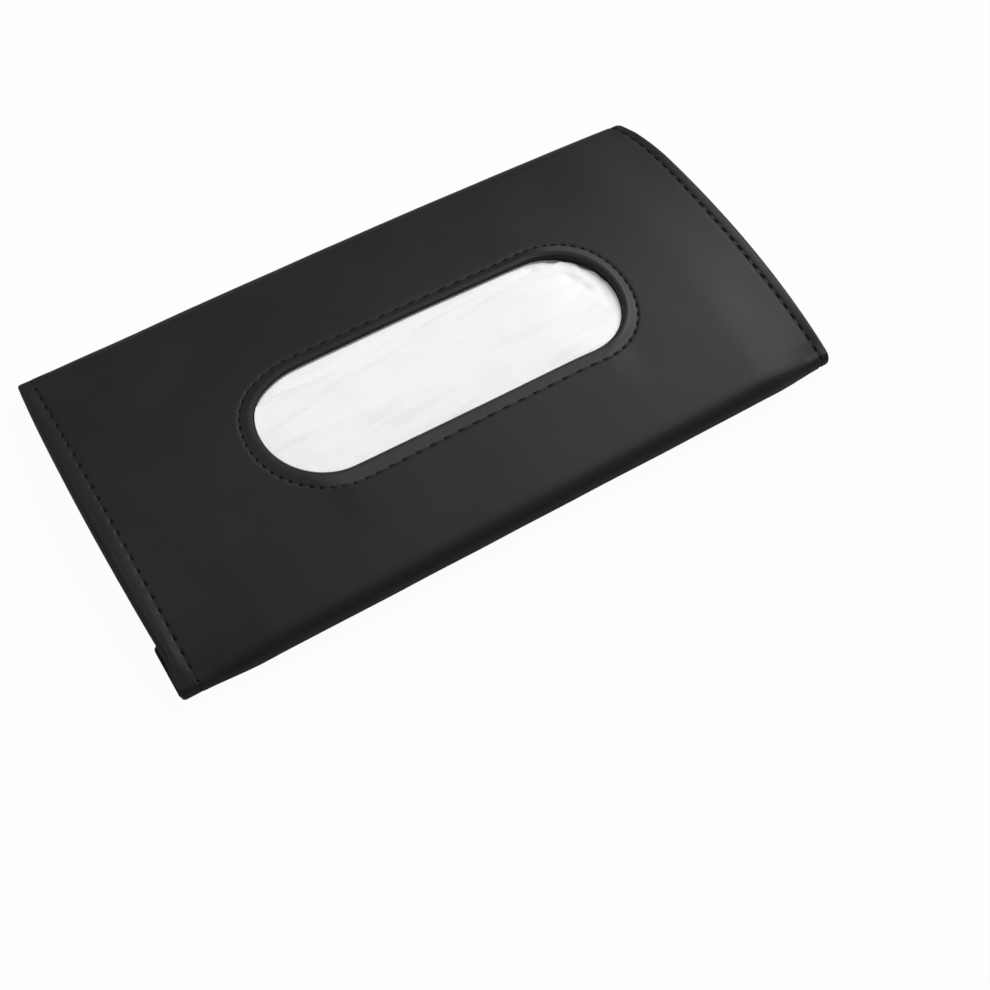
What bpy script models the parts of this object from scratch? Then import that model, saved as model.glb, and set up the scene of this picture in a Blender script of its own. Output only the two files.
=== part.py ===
"""Car tissue holder: a flat leather pouch that straps to a sun visor.

Every length is in metres. X runs along the pouch, Y across it from the flap's fold to the
other long fold, and Z up from the surface that the pouch lies on. The origin is the middle
of the pouch, on that surface.

Both sewn ends are pinched and bowed, so the pouch has no two cross-sections alike near them.
Its outer form is the function envelope(), and each layer is a sheet at its own depth under it.
"""

import math
from collections import namedtuple

import bmesh
import bpy
from mathutils import Vector

# The outer form
CORNER_LENGTH = 0.230  # from corner to corner, along a long fold
END_BOW = 0.0016  # how far a sewn end's edge bows out at its middle
SEAM_BOW = 0.0009  # how far its seam bows in there
WIDTH = 0.120  # over the two long folds
CROWN_HEIGHT = 0.0141  # the top of the front, midway along
END_CROWN_HEIGHT = 0.0131  # the top of the front, at the end seams
FOLD_RADIUS = 0.0050  # the long folds, midway along
END_LIFT = 0.0029  # how far the pinched folds lie off the ground, at the end seams
PINCH_REACH = 0.029  # from the corners to where the pinch begins and the full section ends
SEAM_INSET = 0.0034  # from an end seam's thread to the corners
HEM_DROOP = 0.0016  # how far a sewn end hangs down past its seam
HEM_TURN = 0.0018  # how far the leather's turned edge runs in past an end seam

# Sheet materials
LEATHER = 0.0008
FOAM = 0.0010
BOARD = 0.0006
LINING = 0.0004
FILM = 0.0003
GAP = 0.0003  # kept between any two pieces that touch
THREAD_RADIUS = 0.00025
CUT_OVERRUN = 0.004  # how far a cutter runs past what it cuts

# The window
WINDOW_LENGTH = 0.1265
WINDOW_WIDTH = 0.041
WINDOW_X = 0.0015  # the window sits a little off the middle, both ways
WINDOW_Y = -0.0015
WINDOW_SEAM_OFFSET = 0.0055  # from the window's edge to its thread
WINDOW_LIP_RADIUS = 0.0018  # of the leather's edge that is turned into the window
LIP_CUT_OFFSET = 0.0022  # from the window's edge to where the turned edge joins the sheet
LIP_ROOT_OFFSET = 0.0030  # and to where its root ends, inside the sheet

# The closing flap and its magnets
FLAP_REACH = 0.0235  # from the fold to the flap's free edge
FLAP_OVERHANG = 0.0018  # how far its ends stand out past the corners
FLAP_CORE_END_INSET = 0.0198  # from its ends to its board and its lining
FLAP_CORE_INSET = 0.0022  # from its long edges to them
FLAP_CORNER_RADIUS = 0.004
MAGNET_RADIUS = 0.0035
MAGNET_X = 0.058
MAGNET_FLAP_SETBACK = 0.0071  # from the flap's free edge to the magnets' centres

# The back and its bands
BAND_WIDTH = 0.025
BAND_THICKNESS = 0.0012
BAND_X = 0.062
BAND_EDGE_RADIUS = 0.0004
BAND_CORNER_RADIUS = 0.001
FOLD_UNDERLAP = 0.0008  # how far a fold's leather runs on flat under the back
STEP_LENGTH = 0.0045  # over which the back steps from one level to the next
FLAP_CLEARANCE = 0.0010  # between the flap's free edge and the step beside it
BACK_EDGE_INSET = 0.0108  # from the flap's fold to the back's free edge, at the mouth
BACK_BOARD_INSET = 0.0012
BOARD_END_SHARE = 0.084  # how far into the pinched stretch the boards reach
FOAM_END_SHARE = 0.462

# The tissue pack
PACK_END_INSET = 0.002  # from where the full section ends to the pack's full section
PACK_SIDE_INSET = 0.019  # from the long folds
PACK_FIN_LENGTH = 0.008
PACK_FIN_GAP = 0.0006
TOP_TISSUE = 0.0005
TOP_TISSUE_EDGE_Y = 0.013

# How finely round stretches are divided
FOLD_POINTS = 6
ARCH_POINTS = 11
ROUND_SEGMENTS = 24
WINDOW_ROUND_SEGMENTS = 12
LIP_SEGMENTS = 3
HEM_STEPS = 3
STEP_POINTS = 4
PINCH_STATION_SHARES = (0.25, 0.5, 0.72)
HEM_ROUND_SHARE = 0.8  # how much of a quarter turn a hem's edge is rounded by, each way
LIP_SINK_SHARE = 0.12  # how far down in the leather the turned edge meets the sheet
LIP_ROOT_SHARE = 0.4
STATION_ROOM = 0.0005  # the least room between a sheet's last two sections

HALF_LENGTH = CORNER_LENGTH / 2
HALF_WIDTH = WIDTH / 2
FULL_HALF_LENGTH = HALF_LENGTH - PINCH_REACH
TUCK = LEATHER + GAP  # how deep a sheet lies under the leather that covers its edge
SEAM_X = HALF_LENGTH - SEAM_INSET
HEM_THICKNESS = 4 * LEATHER + GAP
END_FOLD_RADIUS = HEM_THICKNESS / 2  # the long folds, pinched at the end seams
FOAM_DEPTH = TUCK
FRONT_BOARD_DEPTH = FOAM_DEPTH + FOAM + GAP
FRONT_LINING_DEPTH = FRONT_BOARD_DEPTH + BOARD + GAP
FRONT_DEPTH = FRONT_LINING_DEPTH + LINING
BACK_BOARD_LIFT = TUCK
BACK_LINING_LIFT = BACK_BOARD_LIFT + BOARD + GAP
BACK_LIFT = BACK_LINING_LIFT + LINING
FLAP_THICKNESS = LEATHER + BOARD + LINING + 2 * GAP
FLAP_EDGE_Y = -HALF_WIDTH + FLAP_REACH
BACK_SEAM_INSET = FOLD_UNDERLAP + GAP
HINGE_Y = -HALF_WIDTH + FOLD_RADIUS + FOLD_UNDERLAP
BACK_STEP_Y = FLAP_EDGE_Y + FLAP_CLEARANCE  # where the back starts to step down beside the flap
FLAT_BACK_Y = BACK_STEP_Y + STEP_LENGTH  # where the back lies flat again, over the bands
BACK_EDGE_Y = -HALF_WIDTH + BACK_EDGE_INSET
THREAD_ROOM = THREAD_RADIUS + GAP
HEM_ROUND_X = HALF_LENGTH - LEATHER  # where the rounded edge of a hem starts
HEM_START_X = SEAM_X - HEM_TURN  # where a cover's turned edge starts, and it is two layers thick
LINING_END_X = HEM_START_X - GAP
BOARD_END_X = FULL_HALF_LENGTH + (HEM_START_X - FULL_HALF_LENGTH) * BOARD_END_SHARE
FOAM_END_X = FULL_HALF_LENGTH + (HEM_START_X - FULL_HALF_LENGTH) * FOAM_END_SHARE
FLAP_HALF_LENGTH = HALF_LENGTH + FLAP_OVERHANG
FLAP_CORE_HALF_LENGTH = FLAP_HALF_LENGTH - FLAP_CORE_END_INSET
PACK_HALF_LENGTH = FULL_HALF_LENGTH - PACK_END_INSET
PACK_HALF_WIDTH = HALF_WIDTH - PACK_SIDE_INSET

Envelope = namedtuple("Envelope", "fold_radius fold_base fold_y crown under_rise")


def smooth(share):
    """0 below 0, 1 above 1, and a smooth rise between."""
    share = min(1.0, max(0.0, share))
    return share * share * (3 - 2 * share)


def mix(first, second, share):
    return first + (second - first) * share


def envelope(x):
    """The outer form at a distance x from the middle, before the ends bow."""
    reach = abs(x)
    pinch = smooth((reach - FULL_HALF_LENGTH) / (SEAM_X - FULL_HALF_LENGTH))
    droop = HEM_DROOP * max(0.0, (reach - SEAM_X) / SEAM_INSET) ** 2
    radius = mix(FOLD_RADIUS, END_FOLD_RADIUS, pinch)
    base = mix(0.0, END_LIFT, pinch)
    crown = mix(CROWN_HEIGHT, END_CROWN_HEIGHT, pinch) - droop
    under_rise = mix(0.0, END_CROWN_HEIGHT - HEM_THICKNESS - END_LIFT, pinch) - droop
    return Envelope(radius, base, HALF_WIDTH - radius, crown, under_rise)


def arch(form):
    """The centre height and radius of the arc that meets both folds smoothly at the crown."""
    drop = form.crown - form.fold_base - form.fold_radius
    rise = drop - form.fold_radius
    radius = (form.fold_y**2 + drop**2 - form.fold_radius**2) / (2 * rise)
    return form.crown - radius, radius


def front_height(x, y, depth):
    """The height of the front's arc at (x, y), at a depth under the outer form."""
    centre, radius = arch(envelope(x))
    return centre + math.sqrt((radius - depth) ** 2 - y**2)


def under_height(x, y):
    """The height of the outer form's underside at (x, y)."""
    form = envelope(x)
    return form.fold_base + form.under_rise * (1 - (y / form.fold_y) ** 2)


def back_height(x, y):
    """The height of the back cover's outer face, which steps up over the bands and the flap."""
    band_level = BAND_THICKNESS + GAP
    flap_level = FLAP_THICKNESS + GAP
    fold_y = envelope(x).fold_y
    to_bands = smooth((fold_y - BACK_SEAM_INSET - y) / STEP_LENGTH)
    to_flap = smooth((FLAT_BACK_Y - y) / STEP_LENGTH)
    depth = mix(mix(0.0, band_level, to_bands), flap_level, to_flap)
    return under_height(x, y) + mix(depth, 0.0, into_end(x))


def into_end(x):
    """0 as far as the boards reach, and 1 from a sewn end's hem on."""
    return smooth((abs(x) - BOARD_END_X) / (HEM_START_X - BOARD_END_X))


def bowed(x, y, z):
    """The point moved in or out to where the bowed end seam and its bowed edge carry it."""
    to_seam = smooth((abs(x) - FULL_HALF_LENGTH) / (HEM_START_X - FULL_HALF_LENGTH))
    into_hem = smooth((abs(x) - HEM_START_X) / (HALF_LENGTH - HEM_START_X))
    bow = mix(-SEAM_BOW * to_seam, END_BOW, into_hem) * (1 - (y / HALF_WIDTH) ** 2)
    return Vector((x + math.copysign(bow, x), y, z))


def fold_points(form, depth, side):
    """Points round one long fold, from its underside out and up to where the arch meets it."""
    centre, radius = arch(form)
    meet = math.asin(form.fold_y / (radius - form.fold_radius))
    for step in range(FOLD_POINTS):
        angle = mix(math.pi, meet, step / (FOLD_POINTS - 1))
        y = form.fold_y + (form.fold_radius - depth) * math.sin(angle)
        z = form.fold_base + form.fold_radius + (form.fold_radius - depth) * math.cos(angle)
        yield side * y, z


def arch_points(form, depth):
    """Points over the crown, between the two folds and without their ends."""
    centre, radius = arch(form)
    meet = math.asin(form.fold_y / (radius - form.fold_radius))
    for step in range(1, ARCH_POINTS):
        angle = mix(-meet, meet, step / ARCH_POINTS)
        yield (radius - depth) * math.sin(angle), centre + (radius - depth) * math.cos(angle)


def cover_outline(x, depth):
    """From the flap's fold over the crown to the other fold, both taken a little way underneath."""
    form = envelope(x)
    edge_y = form.fold_y - FOLD_UNDERLAP
    edge_z = under_height(x, edge_y) + depth
    first = [(-edge_y, edge_z), *fold_points(form, depth, -1)]
    last = [(edge_y, edge_z), *fold_points(form, depth, 1)]
    return first + list(arch_points(form, depth)) + last[::-1]


def closed_outline(x, depth):
    """The whole section at x as a loop, its underside included."""
    loop = cover_outline(x, depth)
    edge_y = loop[-1][0]
    for step in range(1, ARCH_POINTS):
        y = mix(edge_y, -edge_y, step / ARCH_POINTS)
        loop.append((y, under_height(x, y) + depth))
    return loop


def spread(first, last, count):
    return [mix(first, last, step / (count - 1)) for step in range(count)]


def mirrored(stations):
    """The stations of one half, repeated on the other side of the middle."""
    return [-x for x in reversed(stations) if x > 0] + list(stations)


def stations_to(end_x):
    """The places along the pouch, out to end_x on both sides, where a sheet's section is drawn.

    Sheets that lie on each other share them, so that their straight stretches run side by side."""
    pinch = [mix(FULL_HALF_LENGTH, SEAM_X, share) for share in PINCH_STATION_SHARES]
    stations = [0.0, WINDOW_LENGTH / 4, WINDOW_LENGTH / 2, FULL_HALF_LENGTH, *pinch]
    return mirrored([x for x in stations if x < end_x - STATION_ROOM] + [end_x])


def cover_stations():
    """Where a cover's section is drawn, with how deep its outer and its inner face lie there."""
    inner = [(x, 0.0, LEATHER) for x in stations_to(HEM_START_X) if x >= 0]
    turned = 2 * LEATHER
    half = [*inner, (HEM_START_X + GAP, 0.0, turned), (SEAM_X, 0.0, turned)]
    for step in range(HEM_STEPS):
        angle = HEM_ROUND_SHARE * math.pi / 2 * step / (HEM_STEPS - 1)
        inset = LEATHER * (1 - math.cos(angle))
        half.append((HEM_ROUND_X + LEATHER * math.sin(angle), inset, turned - inset))
    return [(-x, outer, inner) for x, outer, inner in reversed(half) if x > 0] + half


def collection(name):
    made = bpy.data.collections.new(name)
    bpy.context.scene.collection.children.link(made)
    return made


def material(name, colour, roughness, metallic=0.0, alpha=1.0):
    made = bpy.data.materials.new(name)
    made.use_nodes = True
    shader = made.node_tree.nodes["Principled BSDF"]
    shader.inputs["Base Color"].default_value = (*colour, 1.0)
    shader.inputs["Roughness"].default_value = roughness
    shader.inputs["Metallic"].default_value = metallic
    shader.inputs["Alpha"].default_value = alpha
    return made


def add_object(name, mesh, holder, finish=None, parent=None, smooth_angle=math.radians(35)):
    """Links a mesh as a named object, shaded smooth apart from its sharp edges."""
    made = bpy.data.objects.new(name, mesh)
    holder.objects.link(made)
    if finish:
        mesh.materials.append(finish)
    mesh.shade_smooth()
    mesh.set_sharp_from_angle(angle=smooth_angle)
    if parent:
        made.parent = parent
        made.matrix_parent_inverse = parent.matrix_world.inverted()
    return made


def loft(name, rows, closed_rows=False, caps=False, closed_ends=False):
    """A mesh with faces between neighbouring rows of points."""
    form = bmesh.new()
    rings = [[form.verts.new(point) for point in row] for row in rows]
    count = len(rings[0])
    pairs = list(zip(rings, rings[1:]))
    if closed_ends:
        pairs.append((rings[-1], rings[0]))
    for first, second in pairs:
        for i in range(count if closed_rows else count - 1):
            j = (i + 1) % count
            form.faces.new((first[i], second[i], second[j], first[j]))
    if caps:
        form.faces.new(rings[0])
        form.faces.new(rings[-1][::-1])
    if caps or (closed_rows and closed_ends):
        bmesh.ops.recalc_face_normals(form, faces=form.faces)
    mesh = bpy.data.meshes.new(name)
    form.to_mesh(mesh)
    form.free()
    return mesh


def slab(name, outer_rows, inner_rows):
    """A closed mesh between an outer and an inner face, which have the same rows and columns."""
    form = bmesh.new()
    outer = [[form.verts.new(point) for point in row] for row in outer_rows]
    inner = [[form.verts.new(point) for point in row] for row in inner_rows]
    for grid in (outer, inner):
        for first, second in zip(grid, grid[1:]):
            for i in range(len(first) - 1):
                form.faces.new((first[i], second[i], second[i + 1], first[i + 1]))
    rims = []
    for end in (0, -1):
        rims.append((outer[end], inner[end]))
        rims.append(([row[end] for row in outer], [row[end] for row in inner]))
    for over, under in rims:
        for i in range(len(over) - 1):
            form.faces.new((over[i], over[i + 1], under[i + 1], under[i]))
    bmesh.ops.recalc_face_normals(form, faces=form.faces)
    mesh = bpy.data.meshes.new(name)
    form.to_mesh(mesh)
    form.free()
    return mesh


def thicken(sheet, thickness, inward=True):
    """Gives an open sheet its thickness, on the side away from its normals or on theirs."""
    shell = sheet.modifiers.new("thickness", "SOLIDIFY")
    shell.thickness = thickness
    shell.offset = -1.0 if inward else 1.0
    shell.use_even_offset = True
    return shell


def combine(target, other, operation):
    change = target.modifiers.new(operation.lower() + "_" + other.name, "BOOLEAN")
    change.operation = operation
    change.object = other
    change.solver = "EXACT"


def cut(target, cutter):
    combine(target, cutter, "DIFFERENCE")


def as_cutter(cutter):
    cutter.hide_render = True
    cutter.display_type = "WIRE"
    return cutter


def window_outline(offset):
    """The window's outline with round ends, an offset outside its edge, anticlockwise."""
    straight = (WINDOW_LENGTH - WINDOW_WIDTH) / 2
    radius = WINDOW_WIDTH / 2 + offset
    for side, start in ((1, -math.pi / 2), (-1, math.pi / 2)):
        for step in range(WINDOW_ROUND_SEGMENTS + 1):
            angle = start + math.pi * step / WINDOW_ROUND_SEGMENTS
            yield (
                WINDOW_X + side * straight + radius * math.cos(angle),
                WINDOW_Y + radius * math.sin(angle),
            )


def rounded_rectangle(low_x, high_x, low_y, high_y, radius, segments=4):
    """A rectangle's outline with round corners, anticlockwise."""
    corners = ((high_x, high_y), (low_x, high_y), (low_x, low_y), (high_x, low_y))
    towards = ((-1, -1), (1, -1), (1, 1), (-1, 1))
    for turn, ((x, y), (to_x, to_y)) in enumerate(zip(corners, towards)):
        for step in range(segments + 1):
            angle = math.pi / 2 * (turn + step / segments)
            yield (
                x + to_x * radius + radius * math.cos(angle),
                y + to_y * radius + radius * math.sin(angle),
            )


def circle(centre_x, centre_y, radius):
    for step in range(ROUND_SEGMENTS):
        angle = math.tau * step / ROUND_SEGMENTS
        yield centre_x + radius * math.cos(angle), centre_y + radius * math.sin(angle)


def plate(name, outlines, base, thickness, holder):
    """A flat plate from its outline, with any further outlines as holes."""
    curve = bpy.data.curves.new(name, "CURVE")
    curve.dimensions = "2D"
    curve.fill_mode = "BOTH"
    curve.extrude = thickness / 2
    for outline in outlines:
        points = list(outline)
        spline = curve.splines.new("POLY")
        spline.points.add(len(points) - 1)
        for point, (x, y) in zip(spline.points, points):
            point.co = (x, y, 0.0, 1.0)
        spline.use_cyclic_u = True
    drawn = bpy.data.objects.new(name, curve)
    drawn.location.z = base + thickness / 2
    holder.objects.link(drawn)
    return drawn


def as_mesh(drawn, holder, finish=None, parent=None):
    """Turns a curve object into a closed mesh object of the same name and place."""
    bpy.context.view_layer.update()
    graph = bpy.context.evaluated_depsgraph_get()
    mesh = bpy.data.meshes.new_from_object(drawn.evaluated_get(graph))
    placed = drawn.matrix_world.copy()
    name = drawn.name
    bpy.data.objects.remove(drawn)
    form = bmesh.new()
    form.from_mesh(mesh)
    bmesh.ops.remove_doubles(form, verts=form.verts, dist=GAP / 100)
    bmesh.ops.recalc_face_normals(form, faces=form.faces)
    form.transform(placed)
    form.to_mesh(mesh)
    form.free()
    mesh.name = name
    return add_object(name, mesh, holder, finish, parent)


def tube(name, points, radius, holder):
    """A closed ring of thread through the points."""
    curve = bpy.data.curves.new(name, "CURVE")
    curve.dimensions = "3D"
    curve.bevel_depth = radius
    curve.bevel_resolution = 1
    spline = curve.splines.new("POLY")
    spline.points.add(len(points) - 1)
    for point, place in zip(spline.points, points):
        point.co = (*place, 1.0)
    spline.use_cyclic_u = True
    drawn = bpy.data.objects.new(name, curve)
    holder.objects.link(drawn)
    return drawn


def front_sheet(name, depth_at, thickness, end_x, holder, finish):
    """A sheet under the arch only, between the two folds, at the depth that depth_at gives."""
    rows = []
    for x in stations_to(end_x):
        form = envelope(x)
        edge = form.fold_y - GAP
        ys = spread(-edge, edge, ARCH_POINTS)
        rows.append([bowed(x, y, front_height(x, y, depth_at(x))) for y in ys])
    made = add_object(name, loft(name, rows), holder, finish)
    thicken(made, thickness, inward=True)
    return made


def front_lining_depth(x):
    """The front lining closes up on the cover towards the hem."""
    return mix(FRONT_LINING_DEPTH, TUCK, into_end(x))


def window_cutter(name, offset, holder):
    """A prism as wide as the window and an offset all round it, right through the front."""
    drawn = plate(name, [window_outline(offset)], FOLD_RADIUS, CROWN_HEIGHT + CUT_OVERRUN, holder)
    return as_cutter(as_mesh(drawn, holder))


def lip_profile():
    """The section of the edge turned into the window, as pairs of offset and depth.

    It runs from its root inside the sheet round the lip into the window, and back inside."""
    inner_radius = WINDOW_LIP_RADIUS - LEATHER
    reach = WINDOW_SEAM_OFFSET - THREAD_ROOM
    sink = LEATHER * LIP_SINK_SHARE
    root = LEATHER * LIP_ROOT_SHARE
    outer = [(LIP_ROOT_OFFSET, root), (LIP_CUT_OFFSET, sink)]
    inner = [(reach, FRONT_DEPTH - LINING), (LEATHER, FRONT_DEPTH - LINING)]
    for step in range(LIP_SEGMENTS + 1):
        angle = math.pi / 2 * step / LIP_SEGMENTS
        across = WINDOW_LIP_RADIUS * (1 - math.sin(angle))
        down = sink + (WINDOW_LIP_RADIUS - sink) * (1 - math.cos(angle))
        outer.append((across, down))
    outer += [(0.0, FRONT_DEPTH), (reach, FRONT_DEPTH)]
    for step in range(LIP_SEGMENTS, -1, -1):
        angle = math.pi / 2 * step / LIP_SEGMENTS
        across = WINDOW_LIP_RADIUS - inner_radius * math.sin(angle)
        down = WINDOW_LIP_RADIUS - (inner_radius + sink) * math.cos(angle)
        inner.append((across, down))
    inner += [(LIP_CUT_OFFSET, LEATHER - sink), (LIP_ROOT_OFFSET, LEATHER - root)]
    return outer + inner


def ring_round_window(offset, depth):
    """Points on the front, an offset outside the window's edge."""
    return [Vector((x, y, front_height(x, y, depth))) for x, y in window_outline(offset)]


def build_front(parts, cutters, leather, foam, board, lining):
    """The front's four sheets, each with the window cut through it."""
    stations = cover_stations()
    outer = [[bowed(x, y, z) for y, z in cover_outline(x, over)] for x, over, under in stations]
    inner = [[bowed(x, y, z) for y, z in cover_outline(x, under)] for x, over, under in stations]
    cover = add_object("front_cover", slab("front_cover", outer, inner), parts, leather)
    foam_pad = front_sheet("front_foam", lambda x: FOAM_DEPTH, FOAM, FOAM_END_X, parts, foam)
    stiffener = front_sheet(
        "front_board", lambda x: FRONT_BOARD_DEPTH, BOARD, BOARD_END_X, parts, board
    )
    liner = front_sheet("front_lining", front_lining_depth, LINING, LINING_END_X, parts, lining)

    cut(cover, window_cutter("cover_window", LIP_CUT_OFFSET, cutters))
    cut(liner, window_cutter("lining_window", WINDOW_SEAM_OFFSET + THREAD_ROOM, cutters))
    core_window = window_cutter("core_window", WINDOW_LIP_RADIUS, cutters)
    for sheet in (foam_pad, stiffener):
        cut(sheet, core_window)

    rings = [ring_round_window(offset, depth) for offset, depth in lip_profile()]
    mesh = loft("window_lip", rings, closed_rows=True, closed_ends=True)
    combine(cover, as_cutter(add_object("window_lip", mesh, cutters)), "UNION")


def stitch(name, points, covers, parts, cutters, thread):
    """A seam's ring of thread, half sunk in a groove that it presses into the covers."""
    as_mesh(tube(name, points, THREAD_RADIUS, parts), parts, thread)
    groove = as_mesh(tube(name + "_groove", points, THREAD_ROOM, cutters), cutters)
    for cover in covers:
        cut(cover, as_cutter(groove))


def build_seams(parts, cutters, thread):
    """The seam round the window, and the seam round each sewn end."""
    front = parts.objects["front_cover"]
    back = parts.objects["back_cover"]
    round_window = ring_round_window(WINDOW_SEAM_OFFSET, 0.0)
    stitch("window_seam_thread", round_window, [front], parts, cutters, thread)
    for side, word in ((-1, "left"), (1, "right")):
        points = [bowed(side * SEAM_X, y, z) for y, z in closed_outline(SEAM_X, 0.0)]
        stitch(word + "_seam_thread", points, [front, back], parts, cutters, thread)


def back_sheet(name, lift_at, thickness, ys_at, end_x, holder, finish):
    """A sheet above the back's outer face, at the height over it that lift_at gives."""
    rows = []
    for x in stations_to(end_x):
        rows.append([bowed(x, y, back_height(x, y) + lift_at(x)) for y in ys_at(x)])
    made = add_object(name, loft(name, rows), holder, finish)
    thicken(made, thickness, inward=False)
    return made


def back_ys(low_inset, high_inset):
    """The places across the back, closer together where it steps up over bands and flap."""

    def at(x):
        seam = envelope(x).fold_y - BACK_SEAM_INSET
        return [
            *spread(BACK_EDGE_Y + low_inset, BACK_STEP_Y, 3)[:-1],
            *spread(BACK_STEP_Y, FLAT_BACK_Y, STEP_POINTS),
            *spread(FLAT_BACK_Y, seam - STEP_LENGTH, 6)[1:-1],
            *spread(seam - STEP_LENGTH, seam - high_inset, STEP_POINTS),
        ]

    return at


def back_lining_lift(x):
    """The back lining closes down on the cover towards the hem."""
    return mix(BACK_LINING_LIFT, TUCK, into_end(x))


def back_cover_ys(x):
    """The back cover's free edge runs out to the fold towards the hem, which closes the mouth."""
    ys = back_ys(0.0, 0.0)(x)
    ys[0] = mix(BACK_EDGE_Y, -ys[-1], into_end(x))
    ys[1] = (ys[0] + ys[2]) / 2
    return ys


def magnet_centres():
    y = FLAP_EDGE_Y - MAGNET_FLAP_SETBACK
    return (("left", -MAGNET_X, y), ("right", MAGNET_X, y))


def disc(name, x, y, base, thickness, holder, finish, parent=None):
    outline = circle(x, y, MAGNET_RADIUS)
    return as_mesh(plate(name, [outline], base, thickness, holder), holder, finish, parent)


def build_back(parts, cutters, leather, board, lining, steel):
    """The back's three sheets, and the steel discs that the flap's magnets hold on to."""
    outer = []
    inner = []
    for x, over, under in cover_stations():
        ys = back_cover_ys(x)
        outer.append([bowed(x, y, back_height(x, y) + over) for y in ys])
        inner.append([bowed(x, y, back_height(x, y) + under) for y in ys])
    add_object("back_cover", slab("back_cover", outer, inner), parts, leather)
    full_ys = back_ys(0.0, 0.0)
    board_ys = back_ys(BACK_BOARD_INSET / 2, BACK_BOARD_INSET)
    stiffener = back_sheet(
        "back_board", lambda x: BACK_BOARD_LIFT, BOARD, board_ys, BOARD_END_X, parts, board
    )
    back_sheet("back_lining", back_lining_lift, LINING, full_ys, LINING_END_X, parts, lining)
    for word, x, y in magnet_centres():
        base = back_height(x, y) + BACK_BOARD_LIFT
        disc(word + "_keeper_disc", x, y, base, BOARD, parts, steel)
        hole = plate(
            word + "_keeper_hole",
            [circle(x, y, MAGNET_RADIUS + GAP)],
            base - CUT_OVERRUN / 2,
            BOARD + CUT_OVERRUN,
            cutters,
        )
        cut(stiffener, as_cutter(as_mesh(hole, cutters)))


def build_bands(parts, elastic):
    """The two elastic bands that go round a visor, sewn down at both ends."""
    high = HALF_WIDTH - FOLD_RADIUS - BACK_SEAM_INSET - STEP_LENGTH - GAP
    low = FLAT_BACK_Y
    for word, x in (("left", -BAND_X), ("right", BAND_X)):
        outline = rounded_rectangle(
            x - BAND_WIDTH / 2, x + BAND_WIDTH / 2, low, high, BAND_CORNER_RADIUS, segments=2
        )
        drawn = plate(word + "_elastic_band", [outline], 0.0, BAND_THICKNESS, parts)
        band = as_mesh(drawn, parts, elastic)
        edge = band.modifiers.new("soft_edges", "BEVEL")
        edge.width = BAND_EDGE_RADIUS
        edge.segments = 1


def build_flap(parts, leather, board, lining, steel):
    """The closing flap, which turns about the bottom of its fold, and what it holds."""
    hinge = bpy.data.objects.new("flap_hinge", None)
    hinge.location = (0.0, HINGE_Y, 0.0)
    parts.objects.link(hinge)
    bpy.context.view_layer.update()

    outline = rounded_rectangle(
        -FLAP_HALF_LENGTH, FLAP_HALF_LENGTH, HINGE_Y + GAP, FLAP_EDGE_Y, FLAP_CORNER_RADIUS
    )
    as_mesh(plate("flap_cover", [outline], 0.0, LEATHER, parts), parts, leather, hinge)

    core = (
        -FLAP_CORE_HALF_LENGTH,
        FLAP_CORE_HALF_LENGTH,
        HINGE_Y + FLAP_CORE_INSET,
        FLAP_EDGE_Y - FLAP_CORE_INSET,
        FLAP_CORNER_RADIUS,
    )
    magnet_base = LEATHER + GAP
    holes = [circle(x, y, MAGNET_RADIUS + GAP) for word, x, y in magnet_centres()]
    outlines = [rounded_rectangle(*core), *holes]
    as_mesh(plate("flap_board", outlines, magnet_base, BOARD, parts), parts, board, hinge)
    lining_base = magnet_base + BOARD + GAP
    as_mesh(
        plate("flap_lining", [rounded_rectangle(*core)], lining_base, LINING, parts), parts, lining, hinge
    )
    for word, x, y in magnet_centres():
        disc(word + "_flap_magnet", x, y, magnet_base, BOARD, parts, steel, hinge)


def pack_height(x, y, top, inset):
    """The height of the pack's upper or lower face, an inset inside its film."""
    ceiling = front_height(x, y, FRONT_DEPTH + GAP)
    floor = back_height(x, y) + BACK_LIFT + GAP
    fin = smooth((abs(x) - PACK_HALF_LENGTH) / (PACK_FIN_LENGTH / 2))
    middle = (ceiling + floor) / 2
    flat = FILM + PACK_FIN_GAP / 2
    if top:
        return mix(ceiling, middle + flat, fin) - inset
    return mix(floor, middle - flat, fin) + inset


def pack_loop(x, half_width, inset, top_inset=None):
    """The pack's section at x: over the top, down one side, back underneath and up the other."""
    upper_inset = inset if top_inset is None else top_inset
    over_ys = spread(-half_width, half_width, ARCH_POINTS)
    under_ys = [
        *spread(half_width, FLAT_BACK_Y, 6)[:-1],
        *spread(FLAT_BACK_Y, BACK_STEP_Y, STEP_POINTS),
        -half_width,
    ]
    over = [(y, pack_height(x, y, True, upper_inset)) for y in over_ys]
    under = [(y, pack_height(x, y, False, inset)) for y in under_ys]
    return [Vector((x, y, z)) for y, z in over + under]


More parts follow.
